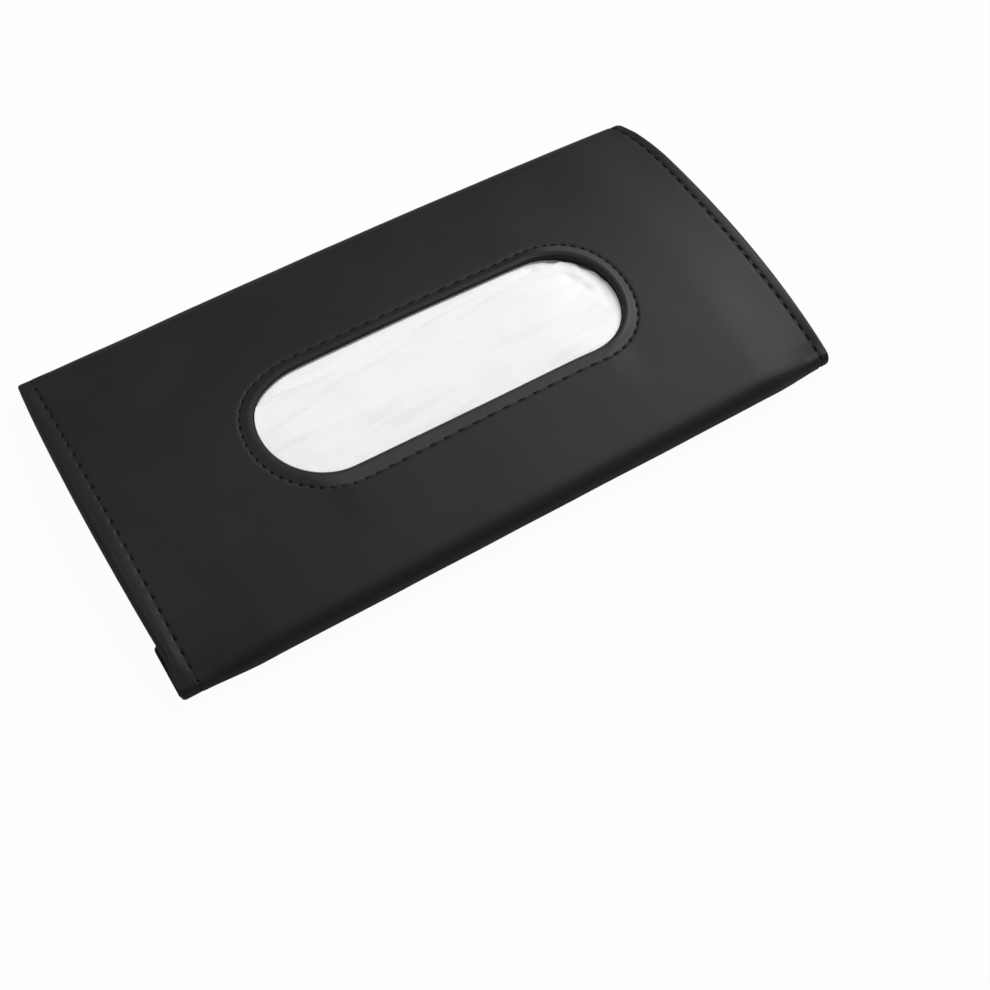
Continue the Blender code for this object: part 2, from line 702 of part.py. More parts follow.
def build_pack(parts, film, tissue):
    """The tissue pack: folded tissues in a film sleeve that is crimped flat at both ends."""
    fin_shares = (0.12, 0.25, 0.38, 0.5, 1.0)
    fin_stations = [PACK_HALF_LENGTH + PACK_FIN_LENGTH * share for share in fin_shares]
    body = [0.0, PACK_HALF_LENGTH / 2, PACK_HALF_LENGTH]
    rows = [pack_loop(x, PACK_HALF_WIDTH, 0.0) for x in mirrored([*body, *fin_stations])]
    sleeve = add_object("tissue_wrapper", loft("tissue_wrapper", rows, closed_rows=True), parts, film)
    thicken(sleeve, FILM)

    inside = FILM + GAP
    stack_top = inside + TOP_TISSUE + GAP
    stack_half_width = PACK_HALF_WIDTH - inside
    stack = [pack_loop(x, stack_half_width, inside, stack_top) for x in mirrored(body)]
    mesh = loft("tissue_stack", stack, closed_rows=True, caps=True)
    add_object("tissue_stack", mesh, parts, tissue)

    ys = spread(-stack_half_width, TOP_TISSUE_EDGE_Y, ARCH_POINTS)
    rows = [[Vector((x, y, pack_height(x, y, True, inside))) for y in ys] for x in mirrored(body)]
    top = add_object("top_tissue", loft("top_tissue", rows), parts, tissue)
    thicken(top, TOP_TISSUE)


def main():
    for leftover in list(bpy.data.objects):
        bpy.data.objects.remove(leftover)
    parts = collection("car_tissue_holder")
    cutters = collection("cutters")

    leather = material("black_leather", (0.022, 0.022, 0.023), 0.48)
    thread = material("black_thread", (0.010, 0.010, 0.010), 0.6)
    foam = material("grey_foam", (0.30, 0.30, 0.31), 0.9)
    board = material("grey_board", (0.20, 0.19, 0.18), 0.7)
    lining = material("black_lining", (0.030, 0.030, 0.032), 0.9)
    elastic = material("black_elastic", (0.018, 0.018, 0.018), 0.85)
    steel = material("plated_steel", (0.62, 0.62, 0.63), 0.3, metallic=1.0)
    film = material("clear_film", (0.95, 0.95, 0.96), 0.12, alpha=0.3)
    tissue = material("white_tissue", (0.88, 0.88, 0.87), 0.95)

    build_front(parts, cutters, leather, foam, board, lining)
    build_back(parts, cutters, leather, board, lining, steel)
    build_seams(parts, cutters, thread)
    build_bands(parts, elastic)
    build_flap(parts, leather, board, lining, steel)
    build_pack(parts, film, tissue)


main()
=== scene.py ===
"""Car tissue holder: the looks of the leather pouch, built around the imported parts.

Lengths are in metres, in the parts' frame: X along the pouch, Y across it from the flap's fold,
and Z up. The covers, linings, foam, bands, flap and tissue pack are new meshes, each in the
place of its part. The boards, magnets and keeper discs stay, with better finishes.

The front is drawn on its flat pattern, whose coordinates are x along the pouch and u round
its section, and then carried onto the pouch's form, as the real leather is.
"""

import math
import random
from collections import namedtuple

import bpy
import numpy as np
from mathutils import Matrix, Vector, noise
from mathutils.geometry import delaunay_2d_cdt


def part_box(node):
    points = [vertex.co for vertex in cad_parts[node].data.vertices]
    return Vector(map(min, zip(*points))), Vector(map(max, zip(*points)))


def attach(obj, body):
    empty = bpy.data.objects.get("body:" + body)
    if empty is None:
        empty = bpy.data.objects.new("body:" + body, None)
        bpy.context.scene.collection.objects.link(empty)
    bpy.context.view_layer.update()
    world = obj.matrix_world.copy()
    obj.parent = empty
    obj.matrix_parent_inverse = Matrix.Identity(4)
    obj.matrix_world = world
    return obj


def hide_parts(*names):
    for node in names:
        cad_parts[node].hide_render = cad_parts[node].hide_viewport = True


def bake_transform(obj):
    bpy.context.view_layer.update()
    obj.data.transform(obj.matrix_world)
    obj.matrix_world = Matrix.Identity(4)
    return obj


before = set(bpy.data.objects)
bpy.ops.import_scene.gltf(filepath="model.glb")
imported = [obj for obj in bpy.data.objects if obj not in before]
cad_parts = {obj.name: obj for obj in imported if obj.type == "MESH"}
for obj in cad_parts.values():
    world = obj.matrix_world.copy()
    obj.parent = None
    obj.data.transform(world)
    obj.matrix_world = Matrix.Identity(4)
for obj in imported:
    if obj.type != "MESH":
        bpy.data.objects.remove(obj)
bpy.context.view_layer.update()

MM = 0.001

# The outer form, as the parts have it
CORNER_LENGTH = 0.230  # over the corners
END_BOW = 0.0016  # how far the left end's edge bows out midway
SEAM_BOW = 0.0009  # how far each end's seam bows in midway
WIDTH = 0.120
CROWN_HEIGHT = 0.0141  # the top of the arched front
END_CROWN_HEIGHT = 0.0131  # and at the ends' seams
FOLD_RADIUS = 0.0050  # of both long folds, outside
END_LIFT = 0.0029  # how far the folds rise off the ground at the ends
PINCH_REACH = 0.029  # how far in from each end the folds start to narrow
SEAM_INSET = 0.0034  # how far in from each end its seam lies
HEM_DROOP = 0.0016  # how far a hem bends down outside its seam
HEM_TURN = 0.0018  # how far inside its seam a hem starts
FOLD_UNDERLAP = 0.0008  # how far the front's leather runs on flat under each fold

# Where the soft leather lies a little off the plain form of the parts
NEAR_END_RADIUS = 0.0032  # the near fold at the sewn ends, which holds the flap's root too
NEAR_END_LIFT = 0.0
FAR_END_RADIUS = 0.0026
NEAR_SPREAD = 0.0009  # how far the near fold stands out
NEAR_END_DRAW = 0.0007  # and how far it is drawn in at the ends
END_SPREAD_START = 0.090  # the x where that starts
FAR_SPREAD = 0.0003  # how far the far fold stands out
FAR_BULGE = 0.0013  # and how much more it does in its middle
FAR_BULGE_X = 0.015
FAR_BULGE_REACH = 0.100
LEFT_EDGE_OUT = 0.0007  # how far the left end's edge stands out
RIGHT_BOW = 0.0012  # how far the right end's edge bows out midway
CORNER_START_Y = 0.034  # the corners are drawn in beyond this y
CORNER_START_X = 0.100  # and beyond this x
CORNER_TIP = 0.35  # how much more of the draw the last few millimetres have
CORNER_TIP_POWER = 10
FAR_RIGHT_CORNER_DRAW = 0.0034
NEAR_RIGHT_CORNER_DRAW = 0.0005
LEFT_CORNER_DRAW = 0.0003
LEFT_SEAM_SHIFT = 0.00035  # the left seam lies a little further in than the right one

# Sheet materials
LEATHER = 0.0008
FOAM = 0.0010
BOARD = 0.0006
LINING = 0.0004
FILM = 0.0003
GAP = 0.0003
THREAD_RADIUS = 0.00022

# The window
WINDOW_LENGTH = 0.1265
WINDOW_WIDTH = 0.041
WINDOW_X = 0.0015
WINDOW_Y = -0.0015
WINDOW_SEAM_OFFSET = 0.0055
LIP_RADIUS = 0.0006

# Places round the window, as shares of the way round it, anticlockwise from the near straight's
# left end, with how many millimetres its edge and its seam lie outside plain oblongs there
WINDOW_EASE = [
    (0.0, -0.15, 0.1),
    (0.125, 0.18, -0.75),
    (0.25, 0.2, -0.9),
    (0.31, 1.35, 1.0),
    (0.375, 0.15, -1.5),
    (0.44, -0.3, -0.4),
    (0.50, -0.4, -1.95),
    (0.63, 0.15, -1.85),
    (0.75, -0.15, -1.8),
    (0.785, -0.8, -2.3),
    (0.82, 0.6, -0.7),
    (0.88, -0.6, -1.5),
    (0.94, -0.8, -1.4),
]

# The flap, the back and the bands
FLAP_REACH = 0.0235  # how far the flap reaches under the back
FLAP_SHORT = 0.0026  # how much less of the flap shows than its part has
FLAP_LEFT_END = 0.1170  # how far left and right the flap runs
FLAP_RIGHT_END = 0.1148
BAND_THICKNESS = 0.0012
STEP_LENGTH = 0.0045  # of the back's steps over the bands and the flap
FLAP_CLEARANCE = 0.0010  # between the flap's edge and the back's step
BACK_EDGE_INSET = 0.0108  # how far in from the near side the back's leather ends
BOARD_END_SHARE = 0.084  # how far into the narrowing ends the boards reach

# The tissue pack
PACK_END_INSET = 0.002
PACK_FIN_LENGTH = 0.008
PACK_FIN_GAP = 0.0006
TOP_TISSUE = 0.0005
TOP_TISSUE_EDGE_Y = 0.013

HALF_LENGTH = CORNER_LENGTH / 2
HALF_WIDTH = WIDTH / 2
SEAM_X = HALF_LENGTH - SEAM_INSET
HEM_START_X = SEAM_X - HEM_TURN
HEM_ROUND_X = HALF_LENGTH - LEATHER
FULL_HALF_LENGTH = HALF_LENGTH - PINCH_REACH
BOARD_END_X = FULL_HALF_LENGTH + (HEM_START_X - FULL_HALF_LENGTH) * BOARD_END_SHARE
HEM_THICKNESS = 4 * LEATHER + GAP
END_FOLD_RADIUS = HEM_THICKNESS / 2
FRONT_DEPTH = LEATHER + FOAM + BOARD + LINING + 3 * GAP
BACK_LIFT = LEATHER + BOARD + LINING + 2 * GAP
FLAP_THICKNESS = LEATHER + BOARD + LINING + 2 * GAP
FLAP_EDGE_Y = -HALF_WIDTH + FLAP_REACH
HINGE_Y = -HALF_WIDTH + FOLD_RADIUS + FOLD_UNDERLAP
BACK_SEAM_INSET = FOLD_UNDERLAP + GAP
FLAT_BACK_Y = FLAP_EDGE_Y + FLAP_CLEARANCE + STEP_LENGTH
BACK_EDGE_Y = -HALF_WIDTH + BACK_EDGE_INSET
PACK_HALF_LENGTH = FULL_HALF_LENGTH - PACK_END_INSET

# The photograph's view, fitted to the pouch's outline, seams and window
PHOTO_SIDE = 990
SENSOR = 36.0
FOCAL_PIXELS = 1436.5
VIEW_AZIMUTH = math.radians(-36.81)
VIEW_ELEVATION = math.radians(59.333)
VIEW_ROLL = math.radians(5.53)
VIEW_TARGET = Vector((-3.256 * MM, -46.613 * MM, 0.0))
VIEW_DISTANCE = 0.442068
VIEW_SHIFT_PIXELS = (9.043, -0.326)

Form = namedtuple("Form", "fold_radius fold_base fold_y crown under_rise")


def smooth(share):
    share = np.clip(share, 0.0, 1.0)
    return share * share * (3 - 2 * share)


def mix(first, second, share):
    return first + (second - first) * share


def envelope(x, end_radius=END_FOLD_RADIUS, end_lift=END_LIFT):
    """The outer form at x, before the ends bow."""
    reach = np.abs(x)
    pinch = smooth((reach - FULL_HALF_LENGTH) / (SEAM_X - FULL_HALF_LENGTH))
    droop = HEM_DROOP * np.maximum(0.0, (reach - SEAM_X) / SEAM_INSET) ** 2
    radius = mix(FOLD_RADIUS, end_radius, pinch)
    base = mix(0.0, end_lift, pinch)
    crown = mix(CROWN_HEIGHT, END_CROWN_HEIGHT, pinch) - droop
    under = mix(0.0, END_CROWN_HEIGHT - HEM_THICKNESS - END_LIFT, pinch) - droop
    return Form(radius, base, HALF_WIDTH - radius, crown, under)


def arch(form):
    """The centre height, the radius and the half angle of the arc over the front."""
    drop = form.crown - form.fold_base - form.fold_radius
    rise = drop - form.fold_radius
    radius = (form.fold_y**2 + drop**2 - form.fold_radius**2) / (2 * rise)
    meet = np.arcsin(form.fold_y / (radius - form.fold_radius))
    return form.crown - radius, radius, meet


_, MID_RADIUS, MID_MEET = arch(envelope(0.0))
ARCH_HALF = MID_RADIUS * MID_MEET  # the flat pattern's u where the arc meets a fold
FOLD_LENGTH = FOLD_RADIUS * (math.pi - MID_MEET)
PATTERN_HALF = ARCH_HALF + FOLD_LENGTH + FOLD_UNDERLAP
FLARE_START = 0.010  # how far before the near fold the left end starts to widen
FLARE_SHARE = 0.6  # of the fold's curve, that the widening takes


def front_height(x, y, depth):
    centre, radius, meet = arch(envelope(x))
    return centre + np.sqrt((radius - depth) ** 2 - y**2)


def under_height(x, y):
    form = envelope(x)
    return form.fold_base + form.under_rise * (1 - (y / form.fold_y) ** 2)


def into_end(x):
    return smooth((np.abs(x) - BOARD_END_X) / (HEM_START_X - BOARD_END_X))


def back_height(x, y):
    """The height of the back's outer face, which steps up over the bands and the flap."""
    fold_y = envelope(x).fold_y
    to_bands = smooth((fold_y - BACK_SEAM_INSET - y) / STEP_LENGTH)
    to_flap = smooth((FLAT_BACK_Y - y) / STEP_LENGTH)
    depth = mix((BAND_THICKNESS + GAP) * to_bands, FLAP_THICKNESS + GAP, to_flap)
    return under_height(x, y) + depth * (1 - into_end(x))


def bow(x, y):
    """How far the bowed end seams and edges carry a point along the pouch."""
    to_seam = smooth((np.abs(x) - FULL_HALF_LENGTH) / (HEM_START_X - FULL_HALF_LENGTH))
    into_hem = smooth((np.abs(x) - HEM_START_X) / (HALF_LENGTH - HEM_START_X))
    edge_bow = np.where(x > 0, RIGHT_BOW, END_BOW)
    bowed = mix(-SEAM_BOW * to_seam, edge_bow, into_hem) * (1 - (y / HALF_WIDTH) ** 2)
    bowed = bowed + np.where(x > 0, 0.0, LEFT_EDGE_OUT) * into_hem
    share = np.clip((np.abs(y) - CORNER_START_Y) / (HALF_WIDTH - CORNER_START_Y), 0.0, 1.0)
    rounded = share**2 + CORNER_TIP * share**CORNER_TIP_POWER
    right_draw = np.where(y > 0, FAR_RIGHT_CORNER_DRAW, NEAR_RIGHT_CORNER_DRAW)
    drawn = np.where(x > 0, right_draw, LEFT_CORNER_DRAW)
    bowed = bowed - rounded * drawn * smooth((np.abs(x) - CORNER_START_X) / (SEAM_X - CORNER_START_X))
    return np.sign(x) * bowed


def spread(x, y):
    """How far the soft folds stand out past the plain form, across the pouch."""
    bulge = np.maximum(0.0, 1 - ((x - FAR_BULGE_X) / FAR_BULGE_REACH) ** 2)
    to_end = smooth((np.abs(x) - END_SPREAD_START) / (SEAM_X - END_SPREAD_START))
    near = mix(NEAR_SPREAD, -NEAR_END_DRAW, to_end)
    outward = np.where(y > 0, FAR_SPREAD + FAR_BULGE * bulge, near)
    return np.sign(y) * outward * np.minimum(1.0, (y / HALF_WIDTH) ** 2)


def flare(x, u):
    """How far the near fold's left end widens to meet the flap, which reaches further there."""
    into_hem = smooth((np.abs(x) - SEAM_X) / SEAM_INSET)
    wrapped = smooth((-u - ARCH_HALF + FLARE_START) / (FOLD_LENGTH * FLARE_SHARE))
    beyond = FLAP_LEFT_END - HALF_LENGTH - LEFT_EDGE_OUT
    return np.where(x < 0, -beyond, 0.0) * into_hem * wrapped


def on_form(form, x, u, depth):
    """Where a point of the flat pattern lies, a depth under a given outer form."""
    centre, radius, meet = arch(form)
    reach = np.abs(u)
    over = np.clip(reach / ARCH_HALF, 0.0, 1.0) * meet
    turn = mix(meet, math.pi, np.clip((reach - ARCH_HALF) / FOLD_LENGTH, 0.0, 1.0))
    flat = np.maximum(0.0, reach - ARCH_HALF - FOLD_LENGTH)
    round_radius = form.fold_radius - depth
    on_arch = reach <= ARCH_HALF
    y = np.where(on_arch, (radius - depth) * np.sin(over), form.fold_y + round_radius * np.sin(turn))
    z = np.where(
        on_arch,
        centre + (radius - depth) * np.cos(over),
        form.fold_base + form.fold_radius + round_radius * np.cos(turn),
    )
    y = np.sign(u) * (y - flat)
    return x + bow(x, y), y, z


def on_front(x, u, depth):
    """Where a point of the front's flat pattern lies, a depth under the leather's face."""
    radius = np.where(u < 0, NEAR_END_RADIUS, FAR_END_RADIUS)
    lift = np.where(u < 0, NEAR_END_LIFT, END_LIFT)
    along, y, z = on_form(envelope(x, radius, lift), x, u, depth)
    return np.stack([along + flare(x, u), y + spread(x, y), z], axis=-1)


# Seams: how the thread pulls the leather down

Seam = namedtuple("Seam", "along passed")  # places along it, and the stitches passed at each
SEAM_SAMPLES = 2000


def seam_counts(pitches, length):
    """How many stitches are passed along a seam, from pairs of a place and its pitch in mm."""
    places = [place for place, _ in pitches]
    along = np.linspace(0.0, length, SEAM_SAMPLES)
    rate = 1.0 / np.interp(along, places, [pitch * MM for _, pitch in pitches])
    passed = np.concatenate([[0.0], np.cumsum((rate[1:] + rate[:-1]) / 2 * np.diff(along))])
    whole = max(1, round(passed[-1]))
    return Seam(along, passed * whole / passed[-1])


def passed_at(seam, along):
    return np.interp(along, seam.along, seam.passed)


def place_at(seam, count):
    return np.interp(count, seam.passed, seam.along)


def end_seam_x(side):
    """How far out the left or the right end's seam lies."""
    return SEAM_X - LEFT_SEAM_SHIFT if side < 0 else SEAM_X


WINDOW_STRAIGHT = (WINDOW_LENGTH - WINDOW_WIDTH) / 2
WINDOW_ROUND = WINDOW_WIDTH / 2
SEAM_ROUND = WINDOW_ROUND + WINDOW_SEAM_OFFSET
ROUND_RUN = math.pi * SEAM_ROUND
STRAIGHT_RUN = 2 * WINDOW_STRAIGHT
WINDOW_SEAM_LENGTH = 2 * (STRAIGHT_RUN + ROUND_RUN)

# The pitch is longest on the straights and closes up round the ends
WINDOW_SEAM = seam_counts(
    [
        (0.0, 3.8),
        (0.15 * STRAIGHT_RUN, 4.8),
        (0.6 * STRAIGHT_RUN, 5.6),
        (0.9 * STRAIGHT_RUN, 5.4),
        (STRAIGHT_RUN + 0.15 * ROUND_RUN, 3.5),
        (STRAIGHT_RUN + 0.9 * ROUND_RUN, 3.3),
        (STRAIGHT_RUN + ROUND_RUN, 4.2),
        (1.15 * STRAIGHT_RUN + ROUND_RUN, 4.6),
        (1.35 * STRAIGHT_RUN + ROUND_RUN, 5.8),
        (1.6 * STRAIGHT_RUN + ROUND_RUN, 5.4),
        (2 * STRAIGHT_RUN + ROUND_RUN, 4.8),
        (2 * STRAIGHT_RUN + 1.15 * ROUND_RUN, 3.9),
        (2 * STRAIGHT_RUN + 1.4 * ROUND_RUN, 3.4),
        (2 * STRAIGHT_RUN + 1.9 * ROUND_RUN, 3.3),
        (WINDOW_SEAM_LENGTH, 3.8),
    ],
    WINDOW_SEAM_LENGTH,
)
LEFT_SEAM = seam_counts([(0.0, 4.75), (2 * PATTERN_HALF, 4.0)], 2 * PATTERN_HALF)
RIGHT_SEAM = seam_counts([(0.0, 4.3), (2 * PATTERN_HALF, 4.1)], 2 * PATTERN_HALF)

# Places along one stitch's pitch, as shares of it
STITCH_SHARE = 0.60  # where the dent of the stitch ends
STITCH_HEAD = 0.09  # where it is at its full depth
STITCH_TAIL = 0.14  # and where it starts to run out
BRIDGE_START = 0.80  # where the leather between two stitches starts to stand up
BRIDGE_RISE = 0.10
BRIDGE_FALL_START = 0.92
BRIDGE_FALL = 0.08

STITCH_DEPTH = 0.00050
STITCH_HEAD_WIDTH = 0.00024
STITCH_TAIL_WIDTH = 0.00015
SEAM_GROOVE = 0.00018
LEFT_SEAM_GROOVE = 0.00010
RIGHT_SEAM_GROOVE = 0.00034
SEAM_GROOVE_WIDTH = 0.00048
PUCKER = 0.00007
PUCKER_WIDTH = 0.00035


def stitch_dent(passed, across, groove_depth, pucker_height):
    """How deep the leather is pressed in beside a seam, from stitches passed and the distance."""
    share = passed - np.floor(passed)
    head = smooth(share / STITCH_HEAD)
    tail = 1 - smooth((share - STITCH_TAIL) / (STITCH_SHARE - STITCH_TAIL))
    width = mix(STITCH_HEAD_WIDTH, STITCH_TAIL_WIDTH, np.clip(share / STITCH_SHARE, 0, 1))
    dent = STITCH_DEPTH * head * tail * np.exp(-((across / width) ** 2))
    groove = groove_depth * np.exp(-((across / SEAM_GROOVE_WIDTH) ** 2))
    risen = smooth((share - BRIDGE_START) / BRIDGE_RISE)
    bridge = risen * (1 - smooth((share - BRIDGE_FALL_START) / BRIDGE_FALL))
    pucker = pucker_height * bridge * np.exp(-((across / PUCKER_WIDTH) ** 2))
    return dent + groove - pucker


SHARES = np.arange(0.0, 1.0, 0.0025)  # of the way round the window
SMOOTHED_PARTS = 12  # the window's easing is smoothed over one of this many parts of its round
EASED_OUT = 0.0105  # beyond this the pattern is not eased


def smoothed_around(column):
    """A column of the window's easing, in metres, at evenly spaced shares and smoothed."""
    around = [place[0] for place in WINDOW_EASE]
    plain = np.interp(SHARES, around, [place[column] * MM for place in WINDOW_EASE], period=1.0)
    weights = np.hanning(len(SHARES) // SMOOTHED_PARTS)
    smoothed = np.convolve(np.tile(plain, 3), weights / weights.sum(), "same")
    return smoothed[len(SHARES) : 2 * len(SHARES)]


EDGE_OUT_AT = smoothed_around(1)
SEAM_OUT_AT = smoothed_around(2)


def easing(run):
    """How far the cut edge and its seam lie outside their oblongs, a run round the window."""
    share = run / WINDOW_SEAM_LENGTH
    edge = np.interp(share, SHARES, EDGE_OUT_AT, period=1.0)
    return edge, np.interp(share, SHARES, SEAM_OUT_AT, period=1.0)


def window_offset(x, u):
    """How far outside the window's edge a point of the pattern lies."""
    past = np.maximum(np.abs(x - WINDOW_X) - WINDOW_STRAIGHT, 0.0)
    plain = np.hypot(past, u - WINDOW_Y) - WINDOW_ROUND
    edge, seam = easing(window_run(x, u))
    inside = (plain - edge) / (1 + edge / WINDOW_ROUND)
    margin = (plain - edge) * WINDOW_SEAM_OFFSET / (WINDOW_SEAM_OFFSET + seam - edge)
    fading = seam / (EASED_OUT - WINDOW_SEAM_OFFSET)
    beyond = np.where(plain > EASED_OUT, plain, (plain - fading * EASED_OUT) / (1 - fading))
    return np.where(plain < edge, inside, np.where(plain < WINDOW_SEAM_OFFSET + seam, margin, beyond))


def window_place(run, offset):
    """The pattern's point a run round the window and an offset outside its edge."""
    run = run % WINDOW_SEAM_LENGTH
    edge, seam = easing(run)
    inside = edge * (1 + offset / WINDOW_ROUND)
    margin = mix(edge, seam, offset / WINDOW_SEAM_OFFSET)
    fading = seam * np.clip((EASED_OUT - offset) / (EASED_OUT - WINDOW_SEAM_OFFSET), 0.0, 1.0)
    out = np.where(offset < 0, inside, np.where(offset < WINDOW_SEAM_OFFSET, margin, fading))
    radius = WINDOW_ROUND + offset + out
    turned = np.clip((run - STRAIGHT_RUN) / SEAM_ROUND, 0.0, math.pi)
    turned = turned + np.clip((run - 2 * STRAIGHT_RUN - ROUND_RUN) / SEAM_ROUND, 0.0, math.pi)
    turn = turned - math.pi / 2
    along = np.clip(run, 0.0, STRAIGHT_RUN) - np.clip(run - STRAIGHT_RUN - ROUND_RUN, 0.0, STRAIGHT_RUN)
    x = WINDOW_X - WINDOW_STRAIGHT + along + radius * np.cos(turn)
    return x, WINDOW_Y + radius * np.sin(turn)


def window_ring(offset, count):
    """Points of the pattern an offset outside the window's edge, anticlockwise."""
    return window_place(np.arange(count) / count * WINDOW_SEAM_LENGTH, offset)


def window_run(x, u):
    """How far round the window's seam, anticlockwise from the near straight's left end."""
    right = x - WINDOW_X
    up = u - WINDOW_Y
    turn_right = np.clip(np.arctan2(up, right - WINDOW_STRAIGHT), -math.pi / 2, math.pi / 2)
    turn_left = np.arctan2(up, right + WINDOW_STRAIGHT) % math.tau
    turn_left = np.clip(turn_left, math.pi / 2, 3 * math.pi / 2)
    near = right + WINDOW_STRAIGHT
    far = STRAIGHT_RUN + ROUND_RUN + WINDOW_STRAIGHT - right
    run_right = STRAIGHT_RUN + (turn_right + math.pi / 2) * SEAM_ROUND
    run_left = 2 * STRAIGHT_RUN + ROUND_RUN + (turn_left - math.pi / 2) * SEAM_ROUND
    run = np.where(up < 0, near, far)
    run = np.where(right > WINDOW_STRAIGHT, run_right, run)
    return np.where(right < -WINDOW_STRAIGHT, run_left, run)


WAVE_SHIFT = (7.3, 3.1, 1.7)  # how far one step of the seed moves the waves


def waves(x, u, size, seed):
    """Slow noise between -1 and 1 at each point of a pattern."""
    shift = Vector([seed * v for v in WAVE_SHIFT])
    points = zip(np.atleast_1d(x) / size, np.atleast_1d(u) / size)
    return np.array([noise.noise(Vector((a, b, 0.0)) + shift) for a, b in points])


# The sewn ends: the padding's swell before each seam, and the hem outside it
END_PUFF = 0.0005
END_PUFF_RISE = 0.0006
END_PUFF_STEEPNESS = 1.5
END_PUFF_REACH = 0.014
HEM_PUFF = 0.0006
HEM_PUFF_REACH = 0.0034
LEFT_HEM_LEAN = 1.5  # both hems are fullest towards their outer edge, the right one more so
RIGHT_HEM_LEAN = 2.2
HEM_SINK = 0.0001
FOLD_EASE = 0.007  # the ends' padding starts to die out this far before the folds

# The window's margin, between its lip and its seam
MARGIN_END_X = 0.046  # about here the window's two sides give way to its ends
MARGIN_EASE = 0.012
MARGIN_ROLL = 0.00042  # how far the padded margin stands up on the far side
MARGIN_LEFT_ROLL = 0.00024  # and round the left end
MARGIN_RIGHT_ROLL = 0.0011  # and round the right end
MARGIN_LEAN = 0.8  # the margin is fullest a little before midway to the seam
MARGIN_RIGHT_LEAN = 0.6  # and nearer to the lip round the right end
NEAR_SEAM_LIFT = 0.0006  # the near side's margin rises from its lip to its seam
NEAR_SEAM_FADE = 0.018  # and the leather outside falls back over this reach
BEVEL_REACH = 0.0013  # round the right end the lip falls away as a bevel, but for its near side
BEVEL_DEPTH = 0.0007
SEAM_REACH = 4 * SEAM_GROOVE_WIDTH  # how far from the window's seam its dents are felt
SLACK = 0.00012  # how unevenly the leather lies over its foam
SLACK_SIZE = 0.022


def end_dent(x, u):
    """How deep the front lies at its sewn ends: the swell, the seam's dents and the hem."""
    outside = np.abs(x) - np.where(x < 0, end_seam_x(-1), end_seam_x(1))
    inside = np.maximum(0.0, -outside)
    puff = END_PUFF * (1 - np.exp(-((inside / END_PUFF_RISE) ** END_PUFF_STEEPNESS)))
    dent = -puff * np.exp(-((inside / END_PUFF_REACH) ** 2))
    leaning = np.where(x < 0, LEFT_HEM_LEAN, RIGHT_HEM_LEAN)
    dent = dent - HEM_PUFF * np.sin(math.pi * np.clip(outside / HEM_PUFF_REACH, 0.0, 1.0) ** leaning)
    dent = dent * (1 - smooth((np.abs(u) - ARCH_HALF + FOLD_EASE) / FOLD_EASE))
    dent = dent + HEM_SINK * smooth(outside / (2 * SEAM_GROOVE_WIDTH))
    left_passed = passed_at(LEFT_SEAM, u + PATTERN_HALF)
    right_passed = passed_at(RIGHT_SEAM, u + PATTERN_HALF)
    groove = np.where(x < 0, LEFT_SEAM_GROOVE, RIGHT_SEAM_GROOVE)
    return dent + stitch_dent(np.where(x < 0, left_passed, right_passed), outside, groove, 0.0)


def margin_sides(x, u):
    """How far a place is round the window's left end, round its right end and on its near side."""
    at_left = smooth((WINDOW_X - MARGIN_END_X - x) / MARGIN_EASE)
    at_right = smooth((x - MARGIN_END_X) / MARGIN_EASE)
    at_near = smooth((WINDOW_Y - MARGIN_EASE / 2 - u) / MARGIN_EASE)
    return at_left, at_right, at_near


def margin_rise(x, u):
    """How far the window's margin stands up: its roll, its near side's rise and its bevel."""
    at_left, at_right, at_near = margin_sides(x, u)
    offset = window_offset(x, u)
    to_seam = np.clip(offset / WINDOW_SEAM_OFFSET, 0.0, 1.0)
    side_roll = mix(MARGIN_ROLL * (1 - at_near), MARGIN_LEFT_ROLL, at_left)
    lean = mix(MARGIN_LEAN, MARGIN_RIGHT_LEAN, at_right)
    roll = mix(side_roll, MARGIN_RIGHT_ROLL, at_right) * np.sin(math.pi * to_seam**lean) ** 2
    past_seam = np.clip((offset - WINDOW_SEAM_OFFSET) / NEAR_SEAM_FADE, 0.0, 1.0)
    near_share = at_near * (1 - at_right) * (1 - at_left)
    lift = NEAR_SEAM_LIFT * near_share * to_seam * smooth(1 - past_seam)
    to_bevel = np.clip(1 - offset / BEVEL_REACH, 0.0, 1.0)
    return roll + lift - BEVEL_DEPTH * to_bevel * at_right * (1 - at_near)


def front_dent(x, u):
    """How deep the front's surface lies under the plain form: ends, margin, stitches and slack."""
    past_seam = window_offset(x, u) - WINDOW_SEAM_OFFSET
    passed = passed_at(WINDOW_SEAM, window_run(x, u))
    stitched = stitch_dent(passed, past_seam, SEAM_GROOVE, PUCKER)
    dent = end_dent(x, u) + np.where(np.abs(past_seam) < SEAM_REACH, stitched, 0.0)
    return dent - margin_rise(x, u) + SLACK * waves(x, u, SLACK_SIZE, seed=1)


# A painted sheen: the leather's colour is made paler in the window's margin, where a highlight would
# fall
PAINTED_SHEEN_NEAR = 0.52  # painted sheen: the window's near margin is painted paler by this share of its right end's
PAINTED_SHEEN_FAR = 0.75  # and the far side of the right end by this share
PAINTED_SHEEN_EDGE = 0.0006


def painted_sheen_share(x, u):
    """How far a sheen is painted into the leather's colour, in the window's margin on its near and
    right sides.
    """
    offset = window_offset(x, u)
    at_left, at_right, at_near = margin_sides(x, u)
    at_far = smooth((u - WINDOW_Y) / MARGIN_EASE)
    strength = mix(PAINTED_SHEEN_NEAR * at_near * (1 - at_left), mix(1.0, PAINTED_SHEEN_FAR, at_far), at_right)
    past_lip = smooth((offset - mix(0.0, BEVEL_REACH / 2, at_right)) / BEVEL_REACH)
    return strength * past_lip * smooth((WINDOW_SEAM_OFFSET - offset) / PAINTED_SHEEN_EDGE)


# Meshes


